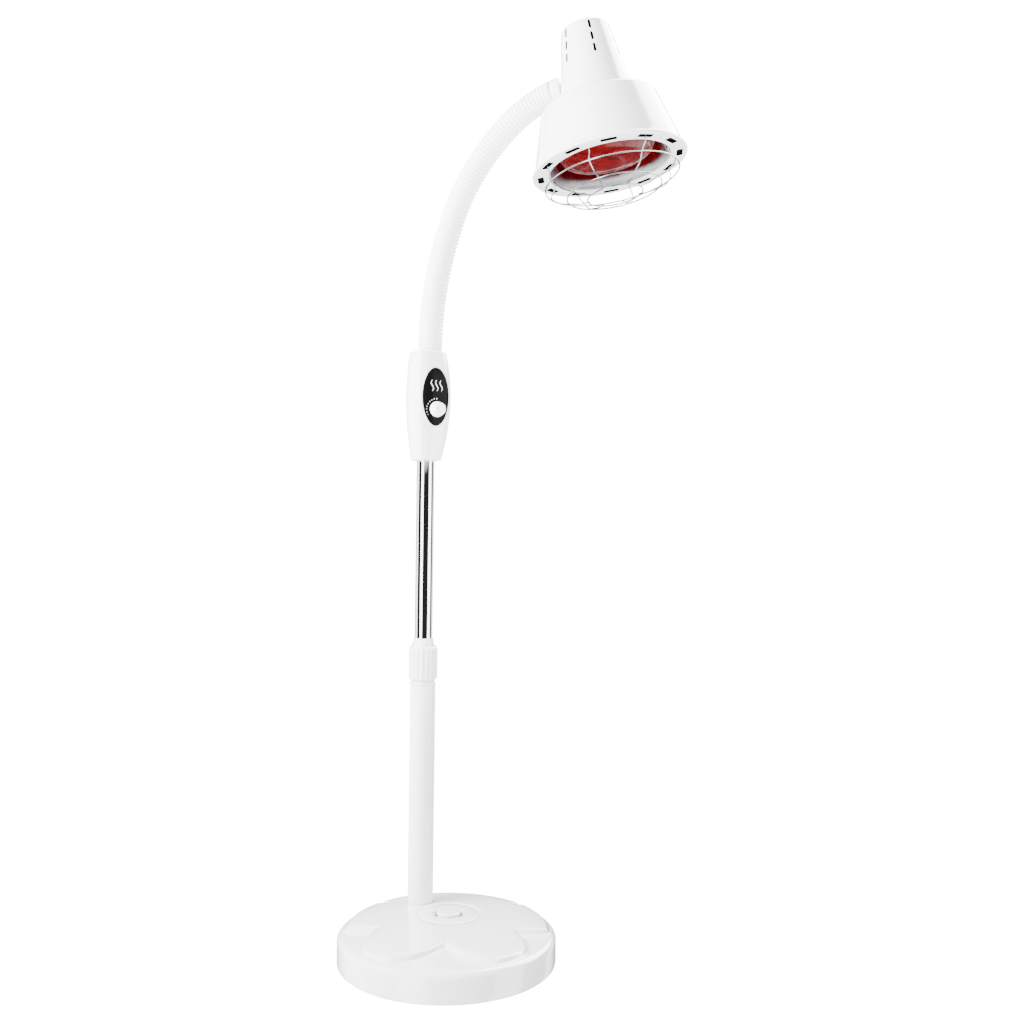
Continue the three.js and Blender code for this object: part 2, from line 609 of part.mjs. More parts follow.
// A guard rib runs over the rings from a rim slot, or from just inside the mouth.
function guardRib(index) {
  const angle = (RIB_PHASE + (index * 360) / RIBS) * DEG;
  const hooked = index % 2 === 1;
  const topAngle = hooked ? angle + RIB_TWIST * DEG : angle;
  const at = (radius, z, around = angle) => (
    new THREE.Vector3(radius * Math.cos(around), radius * Math.sin(around), z));
  const hook = [at(SLOT_RING_R, HOOK_TOP, topAngle), at(SLOT_RING_R, -3, topAngle)];
  const inner = [at(INNER_RIB_R, LIP_T + 1), at(INNER_RIB_R + 0.6, -4)];
  const [top, middle, tip] = GUARD_RINGS;
  const over = [at(...top), at(74, -26), at(...middle), at(...tip)];
  const path = new THREE.CatmullRomCurve3([...(hooked ? hook : inner), ...over], false, 'centripetal');
  return rod(path, WIRE_R, 7, 4);
}

function guardRing([radius, height]) {
  const sides = [];
  for (let i = 0; i < 4; i += 1) {
    const angle = i * 90 * DEG;
    sides.push([radius + WIRE_R * Math.cos(angle), height + WIRE_R * Math.sin(angle)]);
  }
  return turned(sides, 24);
}

function wireGuard() {
  const ribs = Array.from({ length: RIBS }, (_, index) => guardRib(index));
  return joined(...GUARD_RINGS.map(guardRing), ...ribs);
}

function bulbGlass() {
  const outer = [[0, 3.5], [34, 6], [54, 12.5], [62, 22], [61, 38], [52, 58], [26, 102], [17.5, 130],
    [17.5, 141.5]];
  const inner = [[15.9, 141.5], [15.9, 130.4], [24.4, 102.4], [50.4, 58], [59.4, 37.6], [60.2, 22.6],
    [53, 14.2], [33.6, 7.7], [0, 5.2]];
  return turned([...outer, ...inner], 24);
}

function lampHolder() {
  const bore = CAP_R + 1.2;
  const top = BRACKET_LOW - 0.4;
  return turned([[bore, HOLDER_FOOT], [HOLDER_R, HOLDER_FOOT], [HOLDER_R, top - 7], [15, top], [5, top],
    [5, top - 4], [bore, top - 4]]);
}

function addHead(head) {
  head.add(toMesh('shade', shade(), WHITE));
  head.add(toMesh('neck_housing', neckHousing(), WHITE));
  const { ferrule, nut } = endFitting();
  head.add(toMesh('end_ferrule', ferrule, WHITE));
  head.add(toMesh('ferrule_nut', nut, STEEL));
  head.add(toMesh('lamp_holder', lampHolder(), CERAMIC));
  let bracket = disc(BRACKET_R, BRACKET_LOW, BRACKET_TOP).subtract(disc(4, BRACKET_LOW - 9, NECK_TOP, 12));
  [-BRACKET_SCREW_X, BRACKET_SCREW_X].forEach((x, i) => {
    bracket = bracket.subtract(disc(1.9, BRACKET_LOW - 9, NECK_TOP, 8).translate([x, 0, 0]));
    const screw = disc(3.2, BRACKET_TOP + GAP, BRACKET_TOP + 2.4, 8)
      .add(disc(1.5, BRACKET_LOW, BRACKET_TOP + 1, 6));
    head.add(toMesh(`bracket_screw_${i + 1}`, screw.translate([x, 0, 0]), STEEL));
  });
  head.add(toMesh('holder_bracket', bracket, STEEL));
  head.add(toMesh('wire_guard', wireGuard(), CHROME));
  head.add(toMesh('bulb_glass', bulbGlass(), RED_GLASS));
  const cap = ring(CAP_R - 1.6, CAP_R, 142, 167).add(ring(CAP_R - 1.6, CAP_R + 3.6, 142, 143.6));
  head.add(toMesh('bulb_cap', cap, BRASS));
  head.add(toMesh('bulb_contact', turned([[0, 166], [11, 166], [11, 168], [4.5, 171], [0, 171.4]], 20), BRASS));
}

// ---- assembly ----
const lamp = new THREE.Group();
addBase(lamp);

const mast = new THREE.Group();
mast.position.set(POLE_X, POLE_Y, 0);
lamp.add(mast);
addPole(mast);

const box = new THREE.Group();
box.rotation.z = BOX_TURN * DEG;
mast.add(box);
addControlBox(box);

const arm = new THREE.Group();
arm.rotation.z = -ARM_TURN * DEG;
mast.add(arm);
addGooseneck(arm);

const head = new THREE.Group();
const wallPoint = hosePoint(HOSE_LENGTH);
const tilt = HEAD_TILT * DEG;
const entryDistance = ENTRY_R + 0.5;
head.rotation.y = tilt;
head.position.set(
  wallPoint.x + entryDistance * Math.cos(tilt) - ENTRY_HEIGHT * Math.sin(tilt),
  0,
  wallPoint.z - entryDistance * Math.sin(tilt) - ENTRY_HEIGHT * Math.cos(tilt));
arm.add(head);
addHead(head);

export default lamp;
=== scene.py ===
"""Looks of the floor-standing infrared heat lamp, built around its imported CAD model.

Metres, +Z up, the same frame as the CAD. Lengths written in millimetres are multiplied by MM.
"""
import json
from math import atan2, cos, hypot, pi, sin, sqrt, tan

import bmesh
import bpy
from mathutils import Matrix, Vector


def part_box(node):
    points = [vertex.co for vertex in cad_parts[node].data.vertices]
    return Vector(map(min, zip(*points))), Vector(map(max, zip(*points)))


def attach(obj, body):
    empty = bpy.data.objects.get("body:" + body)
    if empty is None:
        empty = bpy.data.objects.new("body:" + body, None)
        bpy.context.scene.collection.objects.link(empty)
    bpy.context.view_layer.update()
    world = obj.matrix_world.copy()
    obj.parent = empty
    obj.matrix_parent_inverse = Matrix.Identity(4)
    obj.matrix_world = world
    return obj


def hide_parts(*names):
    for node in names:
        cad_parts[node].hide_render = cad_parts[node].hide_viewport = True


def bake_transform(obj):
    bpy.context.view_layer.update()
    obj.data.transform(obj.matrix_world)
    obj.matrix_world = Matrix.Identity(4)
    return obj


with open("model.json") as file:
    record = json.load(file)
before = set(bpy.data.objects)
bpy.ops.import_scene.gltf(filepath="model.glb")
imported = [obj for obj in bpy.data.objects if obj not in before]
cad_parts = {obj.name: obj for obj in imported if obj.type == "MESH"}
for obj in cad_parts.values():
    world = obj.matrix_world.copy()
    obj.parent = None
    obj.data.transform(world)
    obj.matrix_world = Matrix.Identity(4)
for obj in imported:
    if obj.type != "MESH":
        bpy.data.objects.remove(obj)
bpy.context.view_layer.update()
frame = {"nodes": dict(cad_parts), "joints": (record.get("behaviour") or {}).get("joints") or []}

MM = 0.001
DEG = pi / 180
UP = Vector((0, 0, 1))
JOINTS = {joint["name"]: joint for joint in frame["joints"]}

# ---- places, from the frame ----
BASE_LOW, BASE_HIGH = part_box("base_shell")
BASE_R = (BASE_HIGH.x - BASE_LOW.x) / 2
PLUG_X, PLUG_Y = JOINTS["plug_turn"]["pos_m"][:2]
POLE = Vector((*JOINTS["mast_turn"]["pos_m"][:2], 0))
BEND_AXIS = Vector(JOINTS["bend_1"]["axis"]).normalized()
ARM_OUT = BEND_AXIS.cross(UP).normalized()
HEAD_AT = Vector(JOINTS["bulb_turn"]["pos_m"])
HEAD_UP = -Vector(JOINTS["bulb_turn"]["axis"]).normalized()
HEAD_OUT = BEND_AXIS.cross(HEAD_UP).normalized()
PANEL_OUT = -Vector(JOINTS["dimmer_turn"]["axis"]).normalized()


def axes_matrix(x_axis, y_axis, z_axis, origin):
    matrix = Matrix((x_axis, y_axis, z_axis)).transposed().to_4x4()
    matrix.translation = origin
    return matrix


def shift(x, y, z):
    """A move in millimetres."""
    return Matrix.Translation((x * MM, y * MM, z * MM))


def spin(degrees, axis="Z"):
    return Matrix.Rotation(degrees * DEG, 4, axis)


POLE_FRAME = Matrix.Translation(POLE)
PLUG_FRAME = Matrix.Translation((PLUG_X, PLUG_Y, 0))
HEAD_FRAME = axes_matrix(HEAD_OUT, BEND_AXIS, HEAD_UP, HEAD_AT)
# The control box: local -Y is the way its panel faces.
BOX_FRAME = axes_matrix(UP.cross(PANEL_OUT), -PANEL_OUT, UP, POLE)


# ---- mesh helpers ----
def shade(mesh, sharp=35):
    """Smooth shading, with edges sharper than the angle kept crisp."""
    bm = bmesh.new()
    bm.from_mesh(mesh)
    bmesh.ops.recalc_face_normals(bm, faces=bm.faces)
    limit = sharp * DEG
    for face in bm.faces:
        face.smooth = True
    for edge in bm.edges:
        edge.smooth = len(edge.link_faces) != 2 or edge.calc_face_angle(0) < limit
    bm.to_mesh(mesh)
    bm.free()


def add_object(name, data):
    thing = bpy.data.objects.new(name, data)
    bpy.context.scene.collection.objects.link(thing)
    return thing


def new_piece(name, points, faces, material, matrix=None, sharp=35):
    mesh = bpy.data.meshes.new(name)
    mesh.from_pydata([tuple(point) for point in points], [], faces)
    if matrix is not None:
        mesh.transform(matrix)
    shade(mesh, sharp)
    mesh.materials.append(material)
    return add_object(name, mesh)


def grid_faces(rows, columns, closed=False):
    """Quads between rings of points, each ring closed on itself."""
    faces = []
    for row in range(rows if closed else rows - 1):
        below = row * columns
        above = (row + 1) % rows * columns
        for column in range(columns):
            after = (column + 1) % columns
            faces.append((below + column, below + after, above + after, above + column))
    return faces


def rounded(points, radius, steps=4, closed=False):
    """The outline with its corners turned into arcs. A point may carry its own radius as a third value."""
    result = []
    count = len(points)
    for i, point in enumerate(points):
        here = Vector(point[:2])
        size = point[2] if len(point) > 2 else radius
        if size <= 0 or (not closed and i in (0, count - 1)):
            result.append(here)
            continue
        back = Vector(points[i - 1][:2]) - here
        ahead = Vector(points[(i + 1) % count][:2]) - here
        turn = back.angle(ahead)
        if turn > 179 * DEG:
            result.append(here)
            continue
        reach = min(size / tan(turn / 2), back.length * 0.49, ahead.length * 0.49)
        start = here + back.normalized() * reach
        end = here + ahead.normalized() * reach
        for step in range(steps + 1):
            part = step / steps
            result.append((1 - part) ** 2 * start + 2 * part * (1 - part) * here + part ** 2 * end)
    return result


def around(count):
    """Evenly spaced angles of one turn."""
    return [i / count * 2 * pi for i in range(count)]


def polar(radius, angle, z):
    """A point in metres from a radius and height in millimetres."""
    return radius * MM * cos(angle), radius * MM * sin(angle), z * MM


def turned_points(curve, segments):
    """Rings of points, one for each (radius, height)."""
    return [polar(r, angle, z) for r, z in curve for angle in around(segments)]


def end_caps(rows, columns):
    return [tuple(range(columns)), tuple(range((rows - 1) * columns, rows * columns))]


def merge_points(piece, matrix=None, sharp=35, distance=1e-7):
    """Joins the points that coincide, then places and shades the piece."""
    bm = bmesh.new()
    bm.from_mesh(piece.data)
    bmesh.ops.remove_doubles(bm, verts=bm.verts, dist=distance)
    if matrix is not None:
        bm.transform(matrix)
    bm.to_mesh(piece.data)
    bm.free()
    shade(piece.data, sharp)


def lathe(name, outline, material, matrix=None, segments=96, radius=0.6, steps=4, sharp=35):
    """A piece of revolution about local Z from an outline of (radius, height) in millimetres.
    An outline that starts and ends on the axis is open, any other closes on itself."""
    open_ended = outline[0][0] == 0 and outline[-1][0] == 0
    curve = rounded(outline, radius, steps, closed=not open_ended)
    faces = grid_faces(len(curve), segments, closed=not open_ended)
    piece = new_piece(name, turned_points(curve, segments), faces, material)
    merge_points(piece, matrix, sharp)
    return piece


def cutter_mesh(points, faces, matrix):
    """A closed mesh, used only to cut pieces."""
    mesh = bpy.data.meshes.new("cutter")
    mesh.from_pydata([tuple(matrix @ Vector(point)) for point in points], [], faces)
    return mesh


def box_mesh(size, matrix):
    half = [s * MM / 2 for s in size]
    signs = (-1, 1)
    corners = [(i * half[0], j * half[1], k * half[2]) for i in signs for j in signs for k in signs]
    faces = [(0, 1, 3, 2), (4, 6, 7, 5), (0, 4, 5, 1), (2, 3, 7, 6), (0, 2, 6, 4), (1, 5, 7, 3)]
    return cutter_mesh(corners, faces, matrix)


def prism_mesh(outline, low, high, matrix):
    """A flat outline in millimetres, pushed from low to high along local Z."""
    count = len(outline)
    points = [(x * MM, y * MM, z * MM) for z in (low, high) for x, y in outline]
    faces = [tuple(reversed(range(count))), tuple(range(count, 2 * count))]
    return cutter_mesh(points, faces + grid_faces(2, count), matrix)


def cut(piece, cutters, sharp=35, walls=None):
    """Cuts closed meshes out of the piece; the cut faces may take a material of their own."""
    bm = bmesh.new()
    for mesh in cutters:
        bm.from_mesh(mesh)
    bmesh.ops.recalc_face_normals(bm, faces=bm.faces)
    joined = bpy.data.meshes.new("cutters")
    bm.to_mesh(joined)
    bm.free()
    knife = add_object("cutters", joined)
    modifier = piece.modifiers.new("cut", "BOOLEAN")
    modifier.operation = "DIFFERENCE"
    modifier.object = knife
    modifier.solver = "EXACT"
    modifier.use_self = len(cutters) > 1
    if walls is not None:
        joined.materials.append(walls)
        modifier.material_mode = "TRANSFER"
    apply_modifiers(piece)
    bpy.data.objects.remove(knife)
    shade(piece.data, sharp)


def apply_modifiers(piece):
    bpy.context.view_layer.update()
    evaluated = piece.evaluated_get(bpy.context.evaluated_depsgraph_get())
    mesh = bpy.data.meshes.new_from_object(evaluated)
    piece.modifiers.clear()
    piece.data = mesh


def circle(radius, count):
    return [(radius * cos(angle), radius * sin(angle)) for angle in around(count)]


def stadium(length, width, count=8):
    """A slot outline with round ends, its length along local X."""
    reach = (length - width) / 2
    points = []
    for side, start in ((1, -90), (-1, 90)):
        for i in range(count + 1):
            angle = (start + 180 * i / count) * DEG
            points.append((side * reach + width / 2 * cos(angle), width / 2 * sin(angle)))
    return points


def sweep(path, radius, sides, closed=False):
    """Points and faces of a round wire along a path of Vectors in metres."""
    points = []
    count = len(path)
    normal = None
    for i, here in enumerate(path):
        before = path[i - 1] if i > 0 or closed else here
        after = path[(i + 1) % count] if i < count - 1 or closed else here
        tangent = (after - before).normalized()
        if normal is None:
            helper = UP if abs(tangent.z) < 0.9 else Vector((1, 0, 0))
            normal = tangent.cross(helper).normalized()
        normal = (normal - tangent * normal.dot(tangent)).normalized()
        side = tangent.cross(normal)
        points += [here + radius * (cos(angle) * normal + sin(angle) * side)
                   for angle in around(sides)]
    faces = grid_faces(count, sides, closed=closed)
    if not closed:
        faces += end_caps(count, sides)
    return points, faces


def smooth_path(corners, per_span=8):
    """A Catmull-Rom curve through the corners."""
    path = []
    spans = len(corners) - 1
    for i in range(spans):
        a = corners[max(i - 1, 0)]
        b = corners[i]
        c = corners[i + 1]
        d = corners[min(i + 2, spans)]
        for step in range(per_span):
            t = step / per_span
            path.append(0.5 * ((2 * b) + (c - a) * t + (2 * a - 5 * b + 4 * c - d) * t * t
                               + (3 * b - a - 3 * c + d) * t ** 3))
    path.append(corners[-1])
    return path


# ---- materials ----
def new_material(name):
    material = bpy.data.materials.new(name)
    material.use_nodes = True
    tree = material.node_tree
    shader = tree.nodes["Principled BSDF"]
    return material, tree, shader


def set_inputs(node, **inputs):
    for key, value in inputs.items():
        node.inputs[key.replace("_", " ")].default_value = value


def add_node(tree, kind, **inputs):
    node = tree.nodes.new(kind)
    set_inputs(node, **inputs)
    return node


def feed(tree, socket, value):
    """Links another socket to this one, or sets it to a number."""
    if isinstance(value, bpy.types.NodeSocket):
        tree.links.new(value, socket)
    else:
        socket.default_value = value


def noise_texture(tree, scale, detail=3.0, roughness=0.5):
    """Noise in object space: the pieces sit at the origin, so it is in metres."""
    coordinates = tree.nodes.new("ShaderNodeTexCoord")
    texture = add_node(tree, "ShaderNodeTexNoise", Scale=scale, Detail=detail, Roughness=roughness)
    tree.links.new(coordinates.outputs["Object"], texture.inputs["Vector"])
    return texture


def colour_ramp(tree, value, stops):
    ramp = tree.nodes.new("ShaderNodeValToRGB")
    elements = ramp.color_ramp.elements
    while len(elements) < len(stops):
        elements.new(0.5)
    for element, (position, colour) in zip(elements, stops):
        element.position = position
        element.color = (*colour, 1)
    tree.links.new(value, ramp.inputs["Fac"])
    return ramp


def value_range(tree, value, low, high, start=0.0, end=1.0, smooth=False):
    """Maps the stretch from start to end onto low to high."""
    node = tree.nodes.new("ShaderNodeMapRange")
    if smooth:
        node.interpolation_type = "SMOOTHSTEP"
    set_inputs(node, From_Min=start, From_Max=end, To_Min=low, To_Max=high)
    tree.links.new(value, node.inputs["Value"])
    return node.outputs["Result"]


def operation(tree, kind, name, *values):
    """A maths node with numbers or sockets as its inputs."""
    node = tree.nodes.new(kind)
    node.operation = name
    for socket, value in zip(node.inputs, values):
        feed(tree, socket, value)
    return node.outputs


def add_bump(tree, shader, height, strength, distance):
    bump = add_node(tree, "ShaderNodeBump", Strength=strength, Distance=distance)
    tree.links.new(height, bump.inputs["Height"])
    tree.links.new(bump.outputs["Normal"], shader.inputs["Normal"])


def surface(name, colour, spread=0.02, roughness=(0.2, 0.3), metallic=0.0, grain=900.0, bump=0.05,
            coat=0.0, blotch=14.0, mirror=0.5):
    """A moulded, painted or plated surface: slight colour drift, uneven gloss and a fine grain."""
    material, tree, shader = new_material(name)
    drift = noise_texture(tree, blotch, 4.0)
    darker = [channel * (1 - spread) for channel in colour]
    lighter = [min(1.0, channel * (1 + spread)) for channel in colour]
    ramp = colour_ramp(tree, drift.outputs["Fac"], [(0.3, darker), (0.7, lighter)])
    tree.links.new(ramp.outputs["Color"], shader.inputs["Base Color"])
    smear = noise_texture(tree, blotch * 4.5, 5.0, 0.6)
    tree.links.new(value_range(tree, smear.outputs["Fac"], *roughness), shader.inputs["Roughness"])
    fine = noise_texture(tree, grain, 2.0)
    add_bump(tree, shader, fine.outputs["Fac"], bump, 0.0002)
    set_inputs(shader, Metallic=metallic, Specular_IOR_Level=mirror, Coat_Weight=coat, Coat_Roughness=0.06)
    return material


def glass_and_painted_reflection_share(tree, place, streaks):
    """0 inside the red area and 1 beyond its ragged edge: half an ellipse that leans with height. The red is
    the bulb's ruby glass, and on the shade's lining it is a painted reflection of the bulb.
    """
    middle = HEAD_AT + HEAD_UP * GLASS_AND_PAINTED_REFLECTION_PLANE
    offset = operation(tree, "ShaderNodeVectorMath", "SUBTRACT", place, middle)["Vector"]
    long_way = HEAD_OUT * cos(GLASS_AND_PAINTED_REFLECTION_TURN) + BEND_AXIS * sin(GLASS_AND_PAINTED_REFLECTION_TURN)
    short_way = BEND_AXIS * cos(GLASS_AND_PAINTED_REFLECTION_TURN) - HEAD_OUT * sin(GLASS_AND_PAINTED_REFLECTION_TURN) - HEAD_UP * GLASS_AND_PAINTED_REFLECTION_SLANT
    across = operation(tree, "ShaderNodeVectorMath", "DOT_PRODUCT", offset, long_way / GLASS_AND_PAINTED_REFLECTION_LONG)["Value"]
    beyond = operation(tree, "ShaderNodeVectorMath", "DOT_PRODUCT", offset, short_way / GLASS_AND_PAINTED_REFLECTION_SHORT)["Value"]
    pair = tree.nodes.new("ShaderNodeCombineXYZ")
    tree.links.new(across, pair.inputs["X"])
    tree.links.new(operation(tree, "ShaderNodeMath", "MAXIMUM", beyond, 0)["Value"], pair.inputs["Y"])
    length = operation(tree, "ShaderNodeVectorMath", "LENGTH", pair.outputs["Vector"])["Value"]
    ragged = operation(tree, "ShaderNodeMath", "MULTIPLY_ADD", streaks, GLASS_AND_PAINTED_REFLECTION_RAGGED, length)["Value"]
    return value_range(tree, ragged, 0, 1, *GLASS_AND_PAINTED_REFLECTION_EDGE, smooth=True)


def ruby_glass_and_painted_reflection():
    """Ruby glass: streaky red over most of the mouth, thinning to silver on one side. On the shade's lining
    the same red is a painted reflection of the bulb.
    """
    material, tree, shader = new_material("ruby_glass_and_painted_reflection")
    place = tree.nodes.new("ShaderNodeTexCoord").outputs["Object"]
    noise = add_node(tree, "ShaderNodeTexNoise", Scale=42.0, Detail=6.0, Roughness=0.65, Distortion=1.6)
    tree.links.new(place, noise.inputs["Vector"])
    streaks = noise.outputs["Fac"]
    mix = tree.nodes.new("ShaderNodeMix")
    mix.data_type = "RGBA"
    mix.inputs["B"].default_value = SILVER_BEYOND_RED
    tree.links.new(glass_and_painted_reflection_share(tree, place, streaks), mix.inputs["Factor"])
    tree.links.new(colour_ramp(tree, streaks, GLASS_AND_PAINTED_REFLECTION_REDS).outputs["Color"], mix.inputs["A"])
    tree.links.new(mix.outputs["Result"], shader.inputs["Base Color"])
    tree.links.new(value_range(tree, streaks, 0.08, 0.2), shader.inputs["Roughness"])
    add_bump(tree, shader, streaks, 0.12, 0.001)
    set_inputs(shader, Specular_IOR_Level=0.25, Coat_Weight=0.1, Coat_Roughness=0.05)
    return material


GLASS_AND_PAINTED_REFLECTION_TURN = 18 * DEG  # long axis of the red area (ruby glass, and painted reflection on the lining), from the arm plane
GLASS_AND_PAINTED_REFLECTION_PLANE = 6 * MM
GLASS_AND_PAINTED_REFLECTION_LONG = 82 * MM
GLASS_AND_PAINTED_REFLECTION_SHORT = 60 * MM
GLASS_AND_PAINTED_REFLECTION_SLANT = 2.69  # how fast its far edge moves out with height
GLASS_AND_PAINTED_REFLECTION_RAGGED = 0.2  # how much the streaks move its edge
GLASS_AND_PAINTED_REFLECTION_EDGE = (0.9, 1.28)  # where it starts and stops fading, as shares of the ellipse
SILVER_BEYOND_RED = (0.9, 0.95, 0.97, 1)
GLASS_AND_PAINTED_REFLECTION_REDS = ((0.28, (0.024, 0.0, 0.0)), (0.5, (0.066, 0.0001, 0.0006)),
              (0.66, (0.1, 0.0006, 0.0014)), (0.8, (0.17, 0.013, 0.013)))

WHITE_GLOSS = surface("white_gloss", (0.86, 0.865, 0.875), 0.012, (0.16, 0.26), bump=0.02, coat=0.8)
WHITE_PAINT = surface("white_paint", (0.85, 0.855, 0.865), 0.012, (0.22, 0.32), grain=2600, bump=0.12)
WHITE_HOSE = surface("white_hose", (0.83, 0.835, 0.84), 0.02, (0.32, 0.45), grain=3000, bump=0.1)
CHROME = surface("chrome_plate", (0.86, 0.87, 0.88), 0.01, (0.03, 0.035), metallic=1.0, grain=500, bump=0.0)
WIRE = surface("wire_chrome", (0.46, 0.47, 0.49), 0.03, (0.12, 0.22), metallic=1.0, grain=1500, bump=0.05)
ZINC = surface("zinc_steel", (0.58, 0.59, 0.6), 0.08, (0.3, 0.45), metallic=1.0, grain=1800, bump=0.2)
BRASS = surface("lamp_brass", (0.76, 0.6, 0.32), 0.06, (0.2, 0.35), metallic=1.0, grain=1500, bump=0.1)
BLACK_GLOSS = surface("black_gloss", (0.003, 0.003, 0.0035), 0.1, (0.1, 0.16), grain=600, bump=0.015,
                      mirror=0.03)
# Near-black painted shade, for the walls of the vents and rim slots and the sheets behind them.
PAINTED_SHADE_BLACK = surface("painted_shade_black", (0.002, 0.002, 0.002), 0.1, (0.8, 0.9), grain=900, mirror=0.05)
SILVER = surface("silver_bead", (0.6, 0.61, 0.62), 0.02, (0.25, 0.35))
BLACK_PLASTIC = surface("black_plastic", (0.02, 0.02, 0.021), 0.15, (0.4, 0.55), grain=2200, bump=0.3)
RUBBER = surface("pad_rubber", (0.03, 0.03, 0.03), 0.2, (0.7, 0.85), grain=2500, bump=0.4)
PRINT = surface("panel_print", (0.75, 0.76, 0.77), 0.03, (0.4, 0.5), grain=3000, bump=0.05)
CERAMIC = surface("holder_ceramic", (0.78, 0.76, 0.7), 0.03, (0.18, 0.3), grain=700, bump=0.1, coat=0.3)
BOARD = surface("board_green", (0.03, 0.14, 0.06), 0.15, (0.35, 0.5), grain=2000, bump=0.2)
SAND = surface("packed_sand", (0.5, 0.4, 0.26), 0.3, (0.85, 0.95), grain=1500, bump=0.8, blotch=300)
SHEATH = surface("lead_sheath", (0.62, 0.6, 0.55), 0.05, (0.5, 0.6), grain=2500, bump=0.2)
# Ruby glass on the bulb; on the shade's lining the same red is a painted reflection of the bulb.
RUBY_AND_PAINTED_REFLECTION = ruby_glass_and_painted_reflection()


# ---- base ----
PETALS = 6
PETAL_INNER = 99
PETAL_OUTER = 160
PETAL_RISE = 6
PETAL_SLOPE = 6  # width of the sloped step round the flower
DRUM_R = BASE_R / MM
DRUM_EDGE = 9  # radius of the drum's upper edge
DRUM_FLAT = DRUM_R - DRUM_EDGE  # where the rounded edge starts
DRUM_SIDE = 30
DRUM_DOME = 5
DRUM_RAYS = 720
RAYS = around(DRUM_RAYS)
FLOWER_LIMIT = 132.5  # the petals stop this far from the drum's middle
FLOWER_Y = PLUG_Y / MM
PLUG_WELL_R = 19.5
PLUG_HOLE_R = 13.4
PLUG_RING_R = 40  # shallow ring round the plug
EVEN_R = 70  # inside this radius the rings are round
PADS = 4
PAD_POCKET_R = 11.3
SOCKET_GAP = 1.1  # round the foot of the pole


def drum_height(x, y):
    """Height of the drum's domed top, without the flower, in millimetres."""
    rho = hypot(x, y)
    return DRUM_SIDE + DRUM_EDGE + DRUM_DOME * max(0.0, 1 - (rho / DRUM_FLAT) ** 2)


def petal_radius(heading):
    """Distance of the flower's outline from its middle, with a notch straight to the front."""
    turn = heading + 90 * DEG
    swell = abs(sin(PETALS / 2 * turn))
    return PETAL_INNER + (PETAL_OUTER - PETAL_INNER) * swell


def reach_to(radius, heading):
    """How far a ray from the flower's middle goes before the drum's radius is reached."""
    along = FLOWER_Y * sin(heading)
    return -along + sqrt(along ** 2 - FLOWER_Y ** 2 + radius ** 2)


def ease(part):
    return part * part * (3 - 2 * part)


def edge_of(heading):
    """Middle of the step round the flower."""
    return min(petal_radius(heading), reach_to(FLOWER_LIMIT, heading) - PETAL_SLOPE / 2)


def on_top(distance, heading, lift=0.0):
    x = distance * cos(heading)
    y = FLOWER_Y + distance * sin(heading)
    return x, y, drum_height(x, y) + lift


def around_rim(radius, z, heading):
    x, y, _ = on_top(reach_to(DRUM_FLAT, heading), heading)
    scale = radius / hypot(x, y)
    return x * scale, y * scale, z


def plug_well_rings():
    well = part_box("plug_seal")[0].z / MM - 0.3
    rings = []
    for radius, z in ((PLUG_HOLE_R, 32), (PLUG_HOLE_R, well), (PLUG_WELL_R - 0.6, well),
                      (PLUG_WELL_R, well + 0.8)):
        rings.append([(radius * cos(a), FLOWER_Y + radius * sin(a), z) for a in RAYS])
    for radius, lift in ((PLUG_WELL_R, -0.8), (PLUG_WELL_R + 0.3, -0.25), (PLUG_WELL_R + 0.9, 0),
                         (27, 0), (34, 0), (PLUG_RING_R - 1.6, 0), (PLUG_RING_R - 0.8, -0.5),
                         (PLUG_RING_R, -0.8), (PLUG_RING_R + 0.8, -0.5), (PLUG_RING_R + 1.6, 0),
                         (48, 0), (56, 0), (64, 0), (EVEN_R, 0)):
        rings.append([on_top(radius, a, PETAL_RISE + lift) for a in RAYS])
    return rings


def flower_rings():
    """From the round rings over the edge of the flower and down to the start of the drum's rounded edge."""
    rings = []
    for part in (0.35, 0.7):
        rings.append([on_top(EVEN_R + (edge_of(a) - PETAL_SLOPE / 2 - EVEN_R) * part, a, PETAL_RISE)
                      for a in RAYS])
    for step in range(9):
        part = step / 8
        rings.append([on_top(edge_of(a) + PETAL_SLOPE * (part - 0.5), a, PETAL_RISE * (1 - ease(part)))
                      for a in RAYS])
    for part in (0.05, 0.2, 0.45, 0.7, 0.9):
        ring = []
        for heading in RAYS:
            inner = edge_of(heading) + PETAL_SLOPE / 2
            ring.append(on_top(inner + (reach_to(DRUM_FLAT, heading) - inner) * part, heading))
        rings.append(ring)
    return rings


def rim_rings():
    outer = [(DRUM_FLAT + DRUM_EDGE * sin(a * DEG), DRUM_SIDE + DRUM_EDGE * cos(a * DEG))
             for a in range(10, 91, 10)]
    outer += [(DRUM_R, z) for z in (24, 12, 4)]
    outer += [(DRUM_R - 0.6, 1.6), (DRUM_R - 2.2, 0.3), (DRUM_R - 4, 0.0)]
    return [[around_rim(radius, z, a) for a in RAYS] for radius, z in outer]


def pad_frame(index):
    low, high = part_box(f"grip_pad_{index}")
    return Matrix.Translation(((low.x + high.x) / 2, (low.y + high.y) / 2, 0))


def base_body():
    rings = plug_well_rings() + flower_rings() + rim_rings()
    points = [tuple(c * MM for c in point) for ring in rings for point in ring]
    faces = grid_faces(len(rings), DRUM_RAYS) + end_caps(len(rings), DRUM_RAYS)
    body = new_piece("base_body", points, faces, WHITE_GLOSS)
    socket_r = size_of("outer_tube")[0] + SOCKET_GAP
    pockets = [prism_mesh(circle(PAD_POCKET_R, 48), -1, 2.7, pad_frame(i)) for i in range(1, PADS + 1)]
    cut(body, [prism_mesh(circle(socket_r, 96), 12, 70, POLE_FRAME), *pockets])
    finish(body, "base", "white_base", "base_shell")


